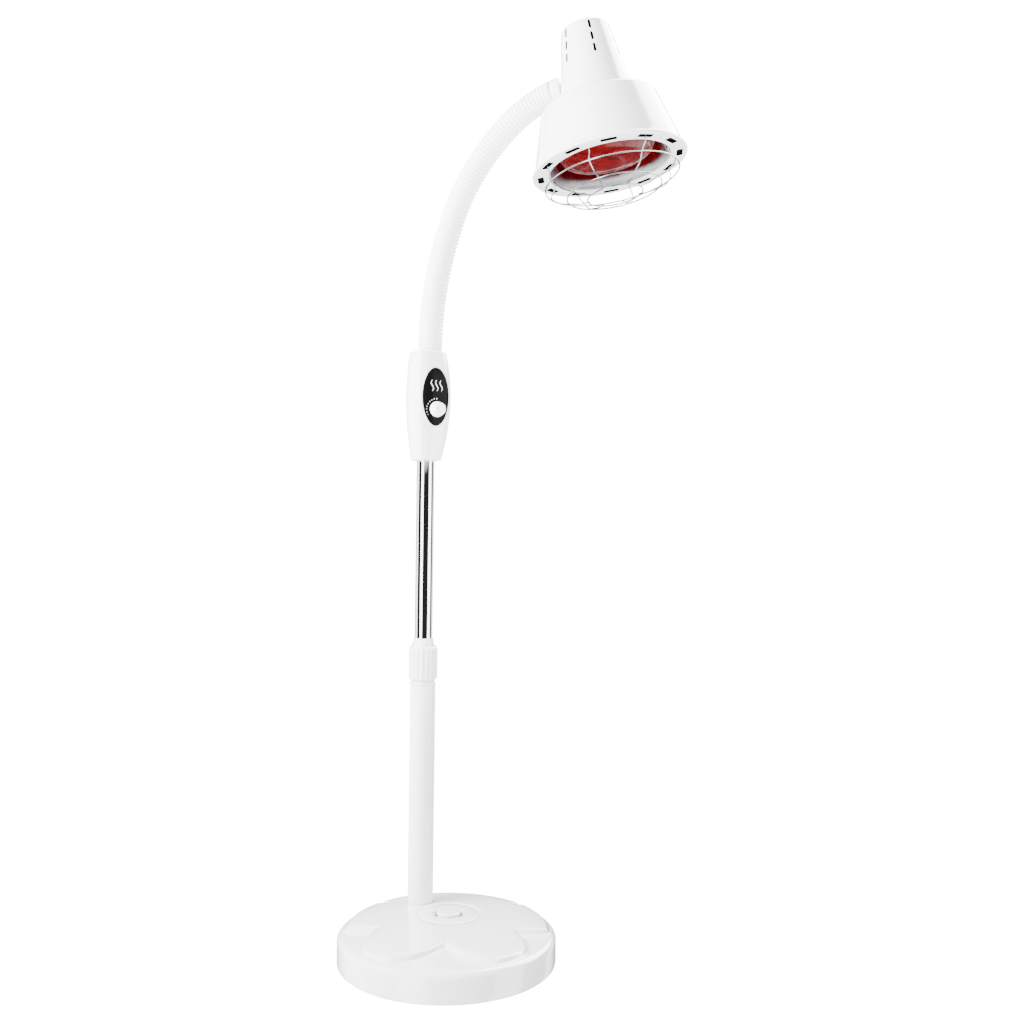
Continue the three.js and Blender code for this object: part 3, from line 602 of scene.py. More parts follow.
def plug_cap():
    """The screw plug: a disc with two half-round recesses that leave a finger bar."""
    low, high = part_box("fill_plug")
    foot = low.z / MM
    top = high.z / MM
    flange = top - 5
    outline = [(0, foot), (12.2, foot), (12.2, flange), (15.5, flange, 0.3), (15.5, top - 1.2, 0.5),
               (14.5, top, 0.6), (0, top)]
    plug = lathe("plug_cap", outline, WHITE_GLOSS, PLUG_FRAME, 96, 0.4)
    recess_r = 10.2
    half_bar = 2.4
    angles = [-90 * DEG + 180 * DEG * i / 24 for i in range(25)]
    half = [(max(half_bar, recess_r * cos(a)), recess_r * sin(a)) for a in angles]
    mirrored = [(-x, y) for x, y in reversed(half)]
    cut(plug, [prism_mesh(side, top - 6, top + 4, PLUG_FRAME) for side in (half, mirrored)])
    finish(plug, "fill_plug", "white_base", "fill_plug")


def base_fittings():
    for i in range(1, PADS + 1):
        outline = [(0, 0.25), (8.4, 0.25), (8.6, 0), (10.9, 0), (10.9, 2.4), (0, 2.4)]
        pad = lathe(f"rubber_pad_{i}", outline, RUBBER, pad_frame(i), 48, 0.15, 2)
        finish(pad, "base", "rubber", f"grip_pad_{i}")
    plug_cap()
    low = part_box("plug_seal")[0].z / MM
    outline = [(13, low), (17.3, low), (17.3, low + 2), (13, low + 2)]
    seal = lathe("seal_ring", outline, RUBBER, PLUG_FRAME, 64, 0.8)
    finish(seal, "plug_seal", "rubber", "plug_seal")


# ---- pole ----
def size_of(node):
    """Radius, low and high of an upright round node, in millimetres."""
    low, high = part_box(node)
    return (high.x - low.x) / 2 / MM, low.z / MM, high.z / MM


def finish(piece, body, slot, *nodes):
    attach(piece, body)
    if nodes:
        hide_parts(*nodes)
    return piece


TUBE_WALL = 1.5
CHROME_WALL = 1.2
COLLET_BORE = 12.35  # also the bore of the guide bush
COLLET_R = 15.1
COLLAR_BORE = 16.35
FLUTES = 18
PER_FLUTE = 16
FLUTE_DEPTH = 1.2


def tube_piece(name, node, wall, material, segments=96, radius=0.3, steps=2):
    outer, low, high = size_of(node)
    outline = [(outer - wall, low), (outer, low), (outer, high), (outer - wall, high)]
    return lathe(name, outline, material, POLE_FRAME, segments, radius, steps)


def collet_jaws():
    """The slit sleeve that the collar squeezes; its tapered top shows above the collar."""
    _, low, high = size_of("collet")
    _, _, shoulder = size_of("lock_collar")
    outline = [(COLLET_BORE, low), (COLLET_R, low), (COLLET_R, low + 26), (16, low + 27), (16, shoulder - 14),
               (14.6, shoulder - 1), (14.6, shoulder + 1.5), (13.2, high, 1.1), (COLLET_BORE, high)]
    jaws = lathe("collet_jaws", outline, WHITE_GLOSS, POLE_FRAME, 96, 0.3, 3)
    slits = []
    for heading in (90, 210, 330):
        slits.append(box_mesh((8, 1.1, 40), POLE_FRAME @ spin(heading) @ shift(14, 0, high - 4)))
    cut(jaws, slits)
    return jaws


def pole_parts():
    tube = tube_piece("lower_tube", "outer_tube", TUBE_WALL, WHITE_PAINT)
    finish(tube, "base", "white_tube", "outer_tube")
    wide, low, high = size_of("tube_top_ring")
    outline = [(wide - 1.4, low), (wide, low), (wide, high - 0.9), (wide - 0.9, high), (wide - 1.4, high)]
    top_ring = lathe("tube_ring", outline, WHITE_GLOSS, POLE_FRAME, 96, 0.25, 3)
    finish(top_ring, "base", "white_plastic", "tube_top_ring")
    finish(collet_jaws(), "base", "white_plastic", "collet")
    mast = tube_piece("chrome_mast", "chrome_tube", CHROME_WALL, CHROME, 128)
    finish(mast, "mast", "chrome", "chrome_tube")
    finish(fluted_collar(), "lock_collar", "white_plastic", "lock_collar")
    _, low, high = size_of("guide_bush")
    outline = [(COLLET_BORE, low), (COLLET_R, low), (COLLET_R, high), (COLLET_BORE, high)]
    bush = lathe("bush_sleeve", outline, BLACK_PLASTIC, POLE_FRAME, 64, 0.6)
    finish(bush, "guide_bush", "black_plastic", "guide_bush")


def fluted_collar():
    """The grip of the height lock: broad flats parted by narrow flutes, plain chamfered ends."""
    radius, low, high = size_of("lock_collar")
    rows = [(COLLAR_BORE, low, 0), (17.2, low, 0), (radius - 2.1, low + 0.4, 0),
            (radius - 0.5, low + 2.4, 0.1), (radius, low + 3.4, 0.6), (radius, low + 5, 1),
            (radius, high - 6, 1), (radius, high - 4.4, 0.6), (radius - 0.5, high - 3.2, 0.1),
            (radius - 2, high - 0.5, 0),
            (radius - 2.6, high, 0), (radius - 3.8, high, 0), (radius - 4.3, high - 0.5, 0),
            (radius - 4.3, high - 2.5, 0), (COLLAR_BORE, high - 12.5, 0)]
    count = FLUTES * PER_FLUTE
    points = []
    for r, z, depth in rows:
        for i, angle in enumerate(around(count)):
            groove = max(0.0, cos(pi * ((i % PER_FLUTE) / PER_FLUTE * 2 - 1))) ** 3
            points.append(polar(r - FLUTE_DEPTH * depth * (1 - groove) ** 5, angle, z))
    faces = grid_faces(len(rows), count, closed=True)
    return new_piece("height_collar", points, faces, WHITE_GLOSS, POLE_FRAME, 50)


# ---- control box ----
BOX_WAIST = 729
BOX_TAPER = 5.2e-5
BOX_HALF_W = 28.5
BOX_FRONT = 30
BOX_BACK = 17.5
BOX_SEAM = 0.88  # the seam, as a share of the way to the front face
BOX_EDGE = 1.6  # the round along its ends
SEAM_GAP = 0.4
SQUARENESS = 3
FULL_SHARE = 0.999  # keeps the smallest sections from closing up
BOX_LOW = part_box("box_rear_shell")[0].z / MM
BOX_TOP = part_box("box_rear_shell")[1].z / MM


def box_scale(z):
    return 1 - BOX_TAPER * (z - BOX_WAIST) ** 2


def box_section(z, inset):
    """Half width, middle and half depth of the box at a height, drawn in by inset."""
    front = BOX_FRONT * box_scale(z) - inset
    back = BOX_BACK - inset
    return BOX_HALF_W * box_scale(z) - inset, (back - front) / 2, (front + back) / 2


def box_face(lateral, z, lift=0.0):
    """Depth of the front surface at a lateral place and height, in local Y."""
    half_w, middle, half_d = box_section(z, -lift)
    share = min(1.0, abs(lateral) / half_w)
    return middle - half_d * (1 - share ** SQUARENESS) ** (1 / SQUARENESS)


def half_outline(z, inset, front):
    """One shell's section: its share of the rounded square, closed along the seam."""
    half_w, middle, half_d = box_section(z, inset)
    half_gap = SEAM_GAP / 2
    seam = -BOX_SEAM * BOX_FRONT * box_scale(z) + (-half_gap if front else half_gap)
    count = 56
    share = max(-FULL_SHARE, min(FULL_SHARE, (seam - middle) / half_d))
    corner = half_w * (1 - abs(share) ** SQUARENESS) ** (1 / SQUARENESS)
    start = atan2(share, corner / half_w)
    if front:
        sweep_from, sweep_to = pi - start, 2 * pi + start
    else:
        sweep_from, sweep_to = start, pi - start
    points = []
    for i in range(count + 1):
        angle = sweep_from + (sweep_to - sweep_from) * i / count
        c, s = cos(angle), sin(angle)
        size = (abs(c) ** SQUARENESS + abs(s) ** SQUARENESS) ** (-1 / SQUARENESS)
        points.append((half_w * size * c, middle + half_d * size * s, 0.0))
    first, last = points[0], points[-1]
    points[0] = (first[0], first[1], 0.7)
    points[-1] = (last[0], last[1], 0.7)
    return rounded(points, 0.0, 4, closed=True)


def shell_piece(name, front):
    """One half of the box, its outer ends rounded over."""
    arc = [(BOX_EDGE * (1 - cos(a * DEG)), BOX_EDGE * (1 - sin(a * DEG))) for a in range(0, 91, 18)]
    start = BOX_LOW + BOX_EDGE
    span = BOX_TOP - BOX_EDGE - start
    rows = [(BOX_LOW + rise, inset) for rise, inset in arc]
    rows += [(start + span * i / 30, 0.0) for i in range(1, 30)]
    rows += [(BOX_TOP - rise, inset) for rise, inset in reversed(arc)]
    points = []
    count = 0
    for z, inset in rows:
        outline = half_outline(z, inset, front)
        count = len(outline)
        points += [(x * MM, y * MM, z * MM) for x, y in outline]
    faces = grid_faces(len(rows), count) + end_caps(len(rows), count)
    return new_piece(name, points, faces, WHITE_GLOSS, BOX_FRAME, 50)


def panel_spot(lateral, z, lift):
    return BOX_FRAME @ Vector((lateral * MM, box_face(lateral, z, lift) * MM, z * MM))


PANEL_LOW, PANEL_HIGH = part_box("control_panel")
PANEL_Z = (PANEL_LOW.z + PANEL_HIGH.z) / 2 / MM
PANEL_HALF_H = (PANEL_HIGH.z - PANEL_LOW.z) / 2 / MM
PANEL_HALF_W = 19.2
PANEL_LIFT = 1.5
BEAD_OUT = 0.5  # the silver bead runs this far outside the panel
BEAD_R = 0.75
KNOB_Z = JOINTS["dimmer_turn"]["pos_m"][2] / MM


def panel_ring(half_w, half_h, lift, count):
    return [panel_spot(half_w * cos(angle), PANEL_Z + half_h * sin(angle), lift)
            for angle in around(count)]


def panel_plate():
    """The oval plate, laid over the curve of the box, and the bead round it."""
    count = 120
    rings = [(i / 14, PANEL_LIFT) for i in range(14)]
    rings += [(0.965, PANEL_LIFT), (0.985, PANEL_LIFT - 0.15), (0.997, PANEL_LIFT - 0.5), (1.0, 0.9),
              (1.0, -0.3)]
    points = []
    for share, lift in rings:
        points += panel_ring(PANEL_HALF_W * share, PANEL_HALF_H * share, lift, count)
    faces = grid_faces(len(rings), count)
    faces.append(end_caps(len(rings), count)[1])
    plate = new_piece("panel_plate", points, faces, BLACK_GLOSS)
    merge_points(plate, None, 50, 1e-6)
    finish(plate, "mast", "black_panel", "control_panel")
    path = panel_ring(PANEL_HALF_W + BEAD_OUT, PANEL_HALF_H + BEAD_OUT, 0.3, 160)
    points, faces = sweep(path, BEAD_R * MM, 10, True)
    finish(new_piece("panel_bead", points, faces, SILVER, None, 60), "mast", "white_plastic")


def printed_line(name, spots, widths):
    """A raised line of print along (lateral, height) spots on the panel."""
    points = []
    count = len(spots)
    for i, (x, z) in enumerate(spots):
        before = Vector(spots[max(i - 1, 0)])
        after = Vector(spots[min(i + 1, count - 1)])
        along = (after - before).normalized()
        side = Vector((-along.y, along.x)) * widths[i] / 2
        for lift in (PANEL_LIFT - 0.05, PANEL_LIFT + 0.14):
            points.append(panel_spot(x + side.x, z + side.y, lift))
            points.append(panel_spot(x - side.x, z - side.y, lift))
    faces = []
    for i in range(count - 1):
        a, b = 4 * i, 4 * (i + 1)
        faces += [(a + 2, a + 3, b + 3, b + 2), (a, b, b + 1, a + 1)]
        faces += [(a, a + 2, b + 2, b), (a + 1, b + 1, b + 3, a + 3)]
    faces += [(0, 1, 3, 2), (4 * count - 4, 4 * count - 2, 4 * count - 1, 4 * count - 3)]
    line = new_piece(name, points, faces, PRINT)
    return finish(line, "mast", "white_plastic")


WAVE_PLACES = (-6.5, 0.0, 6.5)
WAVE_SWING = 1.7
WAVE_FOOT = 24  # above the knob's axis
WAVE_HEIGHT = 15
DOTS = 9
DOT_RING_R = 14
DOT_START = 212  # degrees, anticlockwise from the panel's right
DOT_SPAN = 122


def heat_wave(name, place):
    parts = [i / 32 for i in range(33)]
    spots = [(place + WAVE_SWING * sin(part * 2 * pi), KNOB_Z + WAVE_FOOT + WAVE_HEIGHT * part)
             for part in parts]
    widths = [0.25 + 0.95 * sin(pi * part) ** 0.6 for part in parts]
    printed_line(name, spots, widths)


def scale_dot(name, radius, heading):
    x = DOT_RING_R * cos(heading)
    z = KNOB_Z + DOT_RING_R * sin(heading)
    angles = [pi * i / 12 for i in range(13)]
    spots = [(x + radius * cos(pi - angle), z) for angle in angles]
    widths = [max(0.04, 2 * radius * sin(angle)) for angle in angles]
    printed_line(name, spots, widths)


def panel_print():
    """Generic marks: three rising heat waves, and dots that grow round the knob."""
    for k, place in enumerate(WAVE_PLACES):
        heat_wave(f"heat_wave_{k + 1}", place)
    for k in range(DOTS):
        scale_dot(f"scale_dot_{k + 1}", 0.35 + 0.06 * k, (DOT_START - k * DOT_SPAN / (DOTS - 1)) * DEG)


KNOB_RIBS = 40
PER_KNOB_RIB = 6
KNOB_RIB_DEPTH = 0.28


def knob():
    """A round knob with a plain skirt, a finely ribbed side and a pointer groove."""
    low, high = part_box("dimmer_knob")
    foot = BOX_FRONT + 2.2
    radius = (high.z - low.z) / 2 / MM
    matrix = axes_matrix(UP.cross(PANEL_OUT), UP, PANEL_OUT, POLE + UP * KNOB_Z * MM)
    rows = [(3.3, foot, 0), (radius - 0.4, foot, 0), (radius, foot + 0.4, 0), (radius, foot + 1.6, 0),
            (radius - 0.4, foot + 2.2, 0), (radius - 1.0, foot + 2.7, 0), (radius - 1.3, foot + 3.4, 0.6),
            (radius - 1.4, foot + 4.2, 1), (radius - 1.7, foot + 9, 1), (radius - 2.0, foot + 10, 0.5),
            (radius - 2.7, foot + 10.9, 0), (radius - 3.8, foot + 11.4, 0), (4, foot + 11.7, 0),
            (0, foot + 11.8, 0)]
    count = KNOB_RIBS * PER_KNOB_RIB
    points = []
    for r, z, depth in rows:
        for i, angle in enumerate(around(count)):
            dip = 0.5 - 0.5 * cos(2 * pi * (i % PER_KNOB_RIB) / PER_KNOB_RIB)
            points.append(polar(max(0.0, r - KNOB_RIB_DEPTH * depth * dip), angle, z))
    faces = grid_faces(len(rows), count)
    faces.append(tuple(range(count)))
    body = new_piece("knob_cap", points, faces, WHITE_GLOSS)
    merge_points(body, matrix, 50, 1e-6)
    groove = matrix @ shift(-5.2, -3.2, foot + 12) @ spin(32)
    cut(body, [prism_mesh(stadium(5, 1.1), -1.2, 2, groove)], 50)
    return finish(body, "dimmer_knob", "white_plastic", "dimmer_knob")


BOX_SCREWS = 4


def from_back(place):
    """A frame on the box whose local Z points out of its back."""
    middle = BOX_FRAME.inverted() @ place
    return BOX_FRAME @ Matrix.Translation((middle.x, 0, middle.z)) @ spin(-90, "X")


def screw_head(index, spot):
    outline = [(0, 12), (3.3, 12), (3.3, 14.2), (2.2, 15.0, 1.5), (0, 15.2)]
    screw = lathe(f"screw_head_{index}", outline, ZINC, spot, 40, 0.3)
    cut(screw, [box_mesh((3.6, 0.8, 3), spot @ shift(0, 0, 15.6) @ spin(turn)) for turn in (0, 90)])
    finish(screw, "mast", "steel")


def control_box():
    finish(shell_piece("box_front", True), "mast", "white_plastic", "box_front_shell")
    rear = shell_piece("box_rear", False)
    wells = []
    for i in range(1, BOX_SCREWS + 1):
        low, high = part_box(f"box_screw_{i}")
        spot = from_back((low + high) / 2)
        wells.append(prism_mesh(circle(3.9, 40), 13.5, 30, spot))
        screw_head(i, spot)
    cut(rear, wells, 50)
    finish(rear, "mast", "white_plastic", "box_rear_shell")
    panel_plate()
    panel_print()
    knob()
    low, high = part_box("inlet_gland")
    outline = [(2.6, 10), (5, 10), (5, BOX_BACK + 0.3), (7, BOX_BACK + 0.3), (7, BOX_BACK + 3),
               (5.6, BOX_BACK + 3.6), (5.2, BOX_BACK + 8), (2.6, BOX_BACK + 8)]
    spot = from_back(Vector((POLE.x, POLE.y, (low.z + high.z) / 2)))
    gland = lathe("gland_body", outline, BLACK_PLASTIC, spot, 72, 0.5)
    finish(gland, "mast", "black_plastic", "inlet_gland")


# ---- gooseneck ----
HOSE_ARCS = ((183.5, 22.1), (142, 30), (81, 26.3))  # length in millimetres and turn in degrees
RIB_PITCH = 5.2
RIB_DEPTH = 1.3
HOSE_R = 16.5
HOSE_START_OUT = 4.8  # the hose starts this far out of the pole axis
HOSE_START_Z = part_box("hose_base_ring")[1].z / MM - 4.6
BEND_AT = (68, 154, 240, 326)  # distance along the hose of each joint
HOSE_END = 391
HOSE_SIDES = 56
BLEND_HALF = 38  # a point this far either way of each bend is worked out, and not used
FOOT_BORE = 9.3  # the ribbed ring at the hose's foot
FOOT_LOW = -3.4
FOOT_HIGH = 4.5
FIRST_RIB = 4.8  # where the hose proper starts


def arc_point(start, heading, arc, length):
    radius = arc[0] / (arc[1] * DEG)
    end = heading + length / radius
    out = start[0] + radius * (cos(heading) - cos(end))
    up = start[1] + radius * (sin(end) - sin(heading))
    return (out, up), end


def hose_point(length):
    """Place on the hose's centreline and its heading away from straight up."""
    spot = (HOSE_START_OUT, HOSE_START_Z)
    heading = 0.0
    left = length
    for arc in HOSE_ARCS:
        step = min(left, arc[0])
        if step > 0:
            spot, heading = arc_point(spot, heading, arc, step)
            left -= step
    place = POLE + ARM_OUT * spot[0] * MM + Vector((0, 0, spot[1] * MM))
    return place, heading


def rib_radius(length):
    """Outer radius of the ribbed hose at a length from its foot, in millimetres."""
    wave = abs(cos(pi * length / RIB_PITCH))
    return HOSE_R - RIB_DEPTH * wave ** 4


def hose_length(name, start, end):
    """A length of ribbed hose: flat-topped ribs parted by narrow grooves."""
    steps = round((end - start) / RIB_PITCH * 10)
    points = []
    for step in range(steps + 1):
        length = start + (end - start) * step / steps
        place, heading = hose_point(length)
        across = ARM_OUT * cos(heading) - UP * sin(heading)
        size = rib_radius(length) * MM
        points += [place + size * (cos(angle) * across + sin(angle) * BEND_AXIS)
                   for angle in around(HOSE_SIDES)]
    faces = grid_faces(steps + 1, HOSE_SIDES)
    return new_piece(name, points, faces, WHITE_HOSE, None, 80)


def gooseneck():
    ends = [FIRST_RIB] + [(BEND_AT[i] + BEND_AT[i + 1]) / 2 for i in range(3)] + [HOSE_END]
    for i, joint_at in enumerate(BEND_AT):
        sleeve = hose_length(f"hose_sleeve_{i + 1}", ends[i], ends[i + 1])
        hose_point(joint_at - BLEND_HALF)[0]
        hose_point(joint_at + BLEND_HALF)[0]
        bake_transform(sleeve)
        if i == 0:
            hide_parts("hose_1", "hose_2")
        else:
            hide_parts(f"hose_{i + 2}")
    start = Matrix.Translation(hose_point(0)[0])
    heights = [FOOT_LOW + (FOOT_HIGH - FOOT_LOW) * i / 24 for i in range(25)]
    outline = [(FOOT_BORE, FOOT_LOW)] + [(rib_radius(z), z) for z in heights] + [(FOOT_BORE, FOOT_HIGH)]
    ring_piece = lathe("hose_foot_ring", outline, WHITE_HOSE, start, HOSE_SIDES, 0.01, 1, 80)
    finish(ring_piece, "mast", "white_plastic", "hose_base_ring")


# ---- lamp head, local Z from the rim up to the neck ----
ENTRY_HEIGHT = 117.8  # where the hose enters the side of the neck
ENTRY_R = 41
NECK_BOTTOM = 86
NECK_TOP = 180
NECK_FOOT_R = 46.9
NECK_TOP_R = 30.9
NECK_WALL = 2.4
VENT_COLUMNS = (-120, -60, 0, 60, 120)
VENT_ROWS = 3
VENT_SIZE = (12, 3.4)
VENT_FIRST = 139
VENT_PITCH = 16.7
SLOT_RING_R = 88
SLOT_COUNT = 12
SLOT_PHASE = 20.5
SLOT_SIZE = (20, 8)
WIRE_R = 0.9
GUARD_RINGS = ((85, -17), (60, -32), (35, -37.5))  # radius and height of each ring
RIBS = 8
RIB_PHASE = 2
RIB_TWIST = 3.5  # from a rib to the slot that it hooks into


def rim_slot(index):
    """A cutter for one slot of the rim."""
    turn = spin(SLOT_PHASE + index * 360 / SLOT_COUNT)
    spot = HEAD_FRAME @ turn @ shift(SLOT_RING_R, 0, 1.5) @ spin(90)
    x, y = SLOT_SIZE[0] / 2, SLOT_SIZE[1] / 2
    outline = rounded([(-x, -y), (x, -y), (x, y), (-x, y)], 1.6, 4, closed=True)
    return prism_mesh([tuple(point) for point in outline], -3, 4.5, spot)


def shade_bell():
    outside = [(77.5, 0.2, 0.7), (98.2, 0.2, 1.2), (98.3, 2.6, 0.8), (95.2, 5.2, 2), (93.9, 9, 3),
               (74.4, 77, 5), (72.4, 80, 4), (44, 85.3, 0.4)]
    inside = [(44, 82.6, 0.4), (70.6, 77.4, 2), (71.8, 76, 2), (91.8, 7, 2), (91.6, 3, 1), (77.5, 3, 0.7)]
    bell = lathe("shade_bell", outside + inside, WHITE_GLOSS, HEAD_FRAME, 192, 0.6, 5, 40)
    # The slot walls take near-black painted shade.
    cut(bell, [rim_slot(i) for i in range(SLOT_COUNT)], 40, PAINTED_SHADE_BLACK)
    return finish(bell, "head", "white_plastic", "shade")


def neck_radius(z):
    return NECK_FOOT_R + (NECK_TOP_R - NECK_FOOT_R) * (z - NECK_BOTTOM) / (NECK_TOP - NECK_BOTTOM)


def vent_slot(column, row):
    """A cutter for one vent, square to the sloping side of the neck."""
    lean = atan2(NECK_FOOT_R - NECK_TOP_R, NECK_TOP - NECK_BOTTOM) / DEG
    z = VENT_FIRST + row * VENT_PITCH
    spot = HEAD_FRAME @ spin(column) @ shift(neck_radius(z), 0, z) @ spin(90 - lean, "Y")
    return prism_mesh(stadium(*VENT_SIZE), -8, 8, spot)


def neck_piece():
    foot = NECK_BOTTOM - 1.4
    bore = NECK_FOOT_R - NECK_WALL
    outline = [(bore, foot, 0), (NECK_FOOT_R + 0.3, foot, 0.5), (NECK_FOOT_R - 0.2, foot + 3, 2),
               (NECK_TOP_R, NECK_TOP, 2.4), (NECK_TOP_R - 2, NECK_TOP + 1.9, 2), (16, NECK_TOP + 4, 8),
               (0, NECK_TOP + 4.8)]
    inner = [(0, NECK_TOP + 2.4), (15.6, NECK_TOP + 1.6, 8), (NECK_TOP_R - 3.2, NECK_TOP - 0.8, 1),
             (bore, foot, 0)]
    outside = rounded(outline, 1, 6)
    curve = outside + rounded(inner, 1, 4)
    segments = 160
    faces = grid_faces(len(curve), segments, closed=True)
    between = (len(outside) - 1) * segments  # the two curves aren't joined along the axis
    del faces[between:between + segments]
    neck = new_piece("neck_shell", turned_points(curve, segments), faces, WHITE_GLOSS)
    merge_points(neck, HEAD_FRAME, 40)
    vents = [vent_slot(column, row) for column in VENT_COLUMNS for row in range(VENT_ROWS)]
    # The vent walls take near-black painted shade.
    cut(neck, vents, 40, PAINTED_SHADE_BLACK)
    finish(neck, "head", "white_plastic", "neck_housing")


def painted_reflection_lining():
    """The shade's polished lining, painted red where it would mirror the bulb: a painted reflection, silver
    beyond.
    """
    outline = [(91.0, 7.4), (71.3, 75.4), (44, 81.7), (44, 81.4), (71.0, 75.1), (90.7, 7.4)]
    finish(lathe("painted_reflection_lining", outline, RUBY_AND_PAINTED_REFLECTION, HEAD_FRAME, 160, 0), "head", "white_plastic")


def painted_shade_backing():
    """Near-black sheets behind the vents and the rim slots: painted shade for what is seen through them."""
    low, high = 129, 178.6
    inner = [neck_radius(z) - NECK_WALL - 0.25 for z in (low, high)]
    outline = [(inner[0], low), (inner[1], high), (inner[1] - 0.25, high), (inner[0] - 0.25, low)]
    finish(lathe("vent_painted_shade_liner", outline, PAINTED_SHADE_BLACK, HEAD_FRAME, 96, 0), "head", "black_plastic")
    outline = [(83.6, 3.15), (91.2, 3.15), (91.2, 3.5), (83.6, 3.5)]
    ring_piece = lathe("slot_painted_shade_ring", outline, PAINTED_SHADE_BLACK, HEAD_FRAME, 144, 0)
    holes = []
    for index in range(1, RIBS, 2):
        spot = HEAD_FRAME @ spin(hook_angle(index) / DEG) @ shift(SLOT_RING_R, 0, 0)
        holes.append(prism_mesh(circle(1.6, 16), 2, 5, spot))
    cut(ring_piece, holes)
    finish(ring_piece, "head", "black_plastic")


def end_ferrule():
    matrix = HEAD_FRAME @ shift(0, 0, ENTRY_HEIGHT) @ spin(-90, "Y")
    far = ENTRY_R + 14.6
    flange = ENTRY_R + 2.6
    outline = [(4.5, 28.6), (8, 28.6), (8, flange), (14.9, flange), (15.4, flange + 2), (16.2, far - 4.4),
               (16.5, far - 2), (16.5, far), (14.4, far), (4.5, far)]
    ferrule = lathe("hose_end_ferrule", outline, WHITE_GLOSS, matrix, 96, 0.7)
    return finish(ferrule, "head", "white_plastic", "end_ferrule")


def hook_angle(index):
    """Where a hooked rib enters its rim slot."""
    return (RIB_PHASE + RIB_TWIST + index * 360 / RIBS) * DEG


def guard_wires():
    points = []
    faces = []

    def add(path, closed):
        more_points, more_faces = sweep(path, WIRE_R * MM, 12, closed)
        first = len(points)
        points.extend(more_points)
        faces.extend(tuple(i + first for i in face) for face in more_faces)

    for radius, height in GUARD_RINGS:
        add([Vector(point) for point in turned_points([(radius, height)], 120)], True)
    hook = ((SLOT_RING_R, 7), (SLOT_RING_R, 2), (SLOT_RING_R - 0.4, -4))
    inner = ((75.4, 3.8), (75.6, 0), (77, -6))
    over = ((83.5, -16), (74, -25.4), (60, -30.4), (47, -34.6), (35, -36), (33.5, -36.4))
    for index in range(RIBS):
        angle = (RIB_PHASE + index * 360 / RIBS) * DEG
        hooked = index % 2 == 1
        top_angle = hook_angle(index) if hooked else angle
        corners = [(*place, top_angle) for place in (hook if hooked else inner)]
        corners += [(*place, angle) for place in over]
        path = [Vector(polar(r, turn, z)) for r, z, turn in corners]
        add(smooth_path(path, 6), False)
    wires = new_piece("guard_wires", points, faces, WIRE, HEAD_FRAME, 60)
    return finish(wires, "wire_guard", "guard_wire", "wire_guard")


CAP_LOW = 144
CAP_HIGH = 166
CAP_R = 12.6
CAP_NECK_R = 12.4
THREAD_PITCH = 3.6
THREAD_DEPTH = 0.55


def cap_radius(z, angle):
    """Radius of the screw cap: a rolled thread that runs out into plain ends."""
    margin = min(z - CAP_LOW, CAP_HIGH - z)
    if margin <= 0.5:
        return CAP_NECK_R
    swing = angle if margin > 1 else 0
    return CAP_R + THREAD_DEPTH * cos(2 * pi * (z - CAP_LOW) / THREAD_PITCH - swing)


def bulb():
    outline = [(0, 3.5), (22, 4.4, 30), (42, 7.6, 30), (56, 13, 12), (62, 22, 10), (61.6, 34, 14),
               (54, 54, 24), (30, 95, 20), (19.5, 118, 20), (17.5, 132, 10), (17.5, 141.5, 0.4), (0, 141.5)]
    glass = lathe("bulb_reflector", outline, RUBY_AND_PAINTED_REFLECTION, HEAD_FRAME, 160, 4, 8, 50)
    finish(glass, "bulb", "red_glass", "bulb_glass")
    rows = 151
    segments = 48
    points = []
    for row in range(rows):
        z = CAP_LOW + (CAP_HIGH - CAP_LOW) * row / (rows - 1)
        points += [polar(cap_radius(z, angle), angle, z) for angle in around(segments)]
    faces = grid_faces(rows, segments) + end_caps(rows, segments)
    screw = new_piece("bulb_screw_cap", points, faces, BRASS, HEAD_FRAME)
    finish(screw, "bulb", "brass", "bulb_cap")


def lamp_head():
    shade_bell()
    neck_piece()
    painted_shade_backing()
    painted_reflection_lining()
    end_ferrule()
    guard_wires()
    bulb()


# ---- CAD pieces that stay, with their finishes ----
def dress_cad_pieces():
    looks = {"sand_ballast": SAND, "dimmer_module": BLACK_PLASTIC, "dimmer_board": BOARD,
             "lamp_holder": CERAMIC, "bulb_contact": BRASS}
    metal = ["tube_foot_insert", "pole_bolt", "tube_clamp", "dimmer_shaft", "ferrule_nut", "holder_bracket",
             "bracket_screw_1", "bracket_screw_2"]
    metal += [f"box_screw_{i}" for i in range(1, BOX_SCREWS + 1)]
    metal += [f"spine_{i}" for i in range(1, 6)]
    looks.update({name: ZINC for name in metal})
    looks.update({f"lead_{i}": SHEATH for i in range(1, 6)})
    for name, material in looks.items():
        node = frame["nodes"][name]
        node.data.materials.clear()
        node.data.materials.append(material)


# ---- camera, lights and world ----
CAMERA_AT = Vector((0.07674, -1.49058, 0.57925))
FOCAL_PIXELS = 1160.3
IMAGE_SIZE = 1024
SENSOR = 36
CAMERA_ROLL = 0.0126  # radians
CAMERA_DOWN = 0.0014


def studio():
    camera_data = bpy.data.cameras.new("camera")
    camera_data.sensor_width = SENSOR
    camera_data.lens = FOCAL_PIXELS / IMAGE_SIZE * SENSOR
    camera_data.clip_start = 0.01
    camera_data.clip_end = 50
    camera = add_object("camera", camera_data)
    aim = Matrix.Rotation(pi / 2 - CAMERA_DOWN, 4, "X") @ Matrix.Rotation(CAMERA_ROLL, 4, "Z")
    camera.matrix_world = Matrix.Translation(CAMERA_AT) @ aim
    bpy.context.scene.camera = camera

    add_light("key", (-0.95, -0.4, 1.25), (0.1, 0, 0.95), 0.8, 105)
    add_light("rim", (0.95, 0.35, 1.25), (0.19, 0, 1.05), 0.5, 30)
    add_light("mouth", (0.22, -0.3, 0.45), (0.19, -0.03, 1.0), 0.4, 6)
    studio_world()


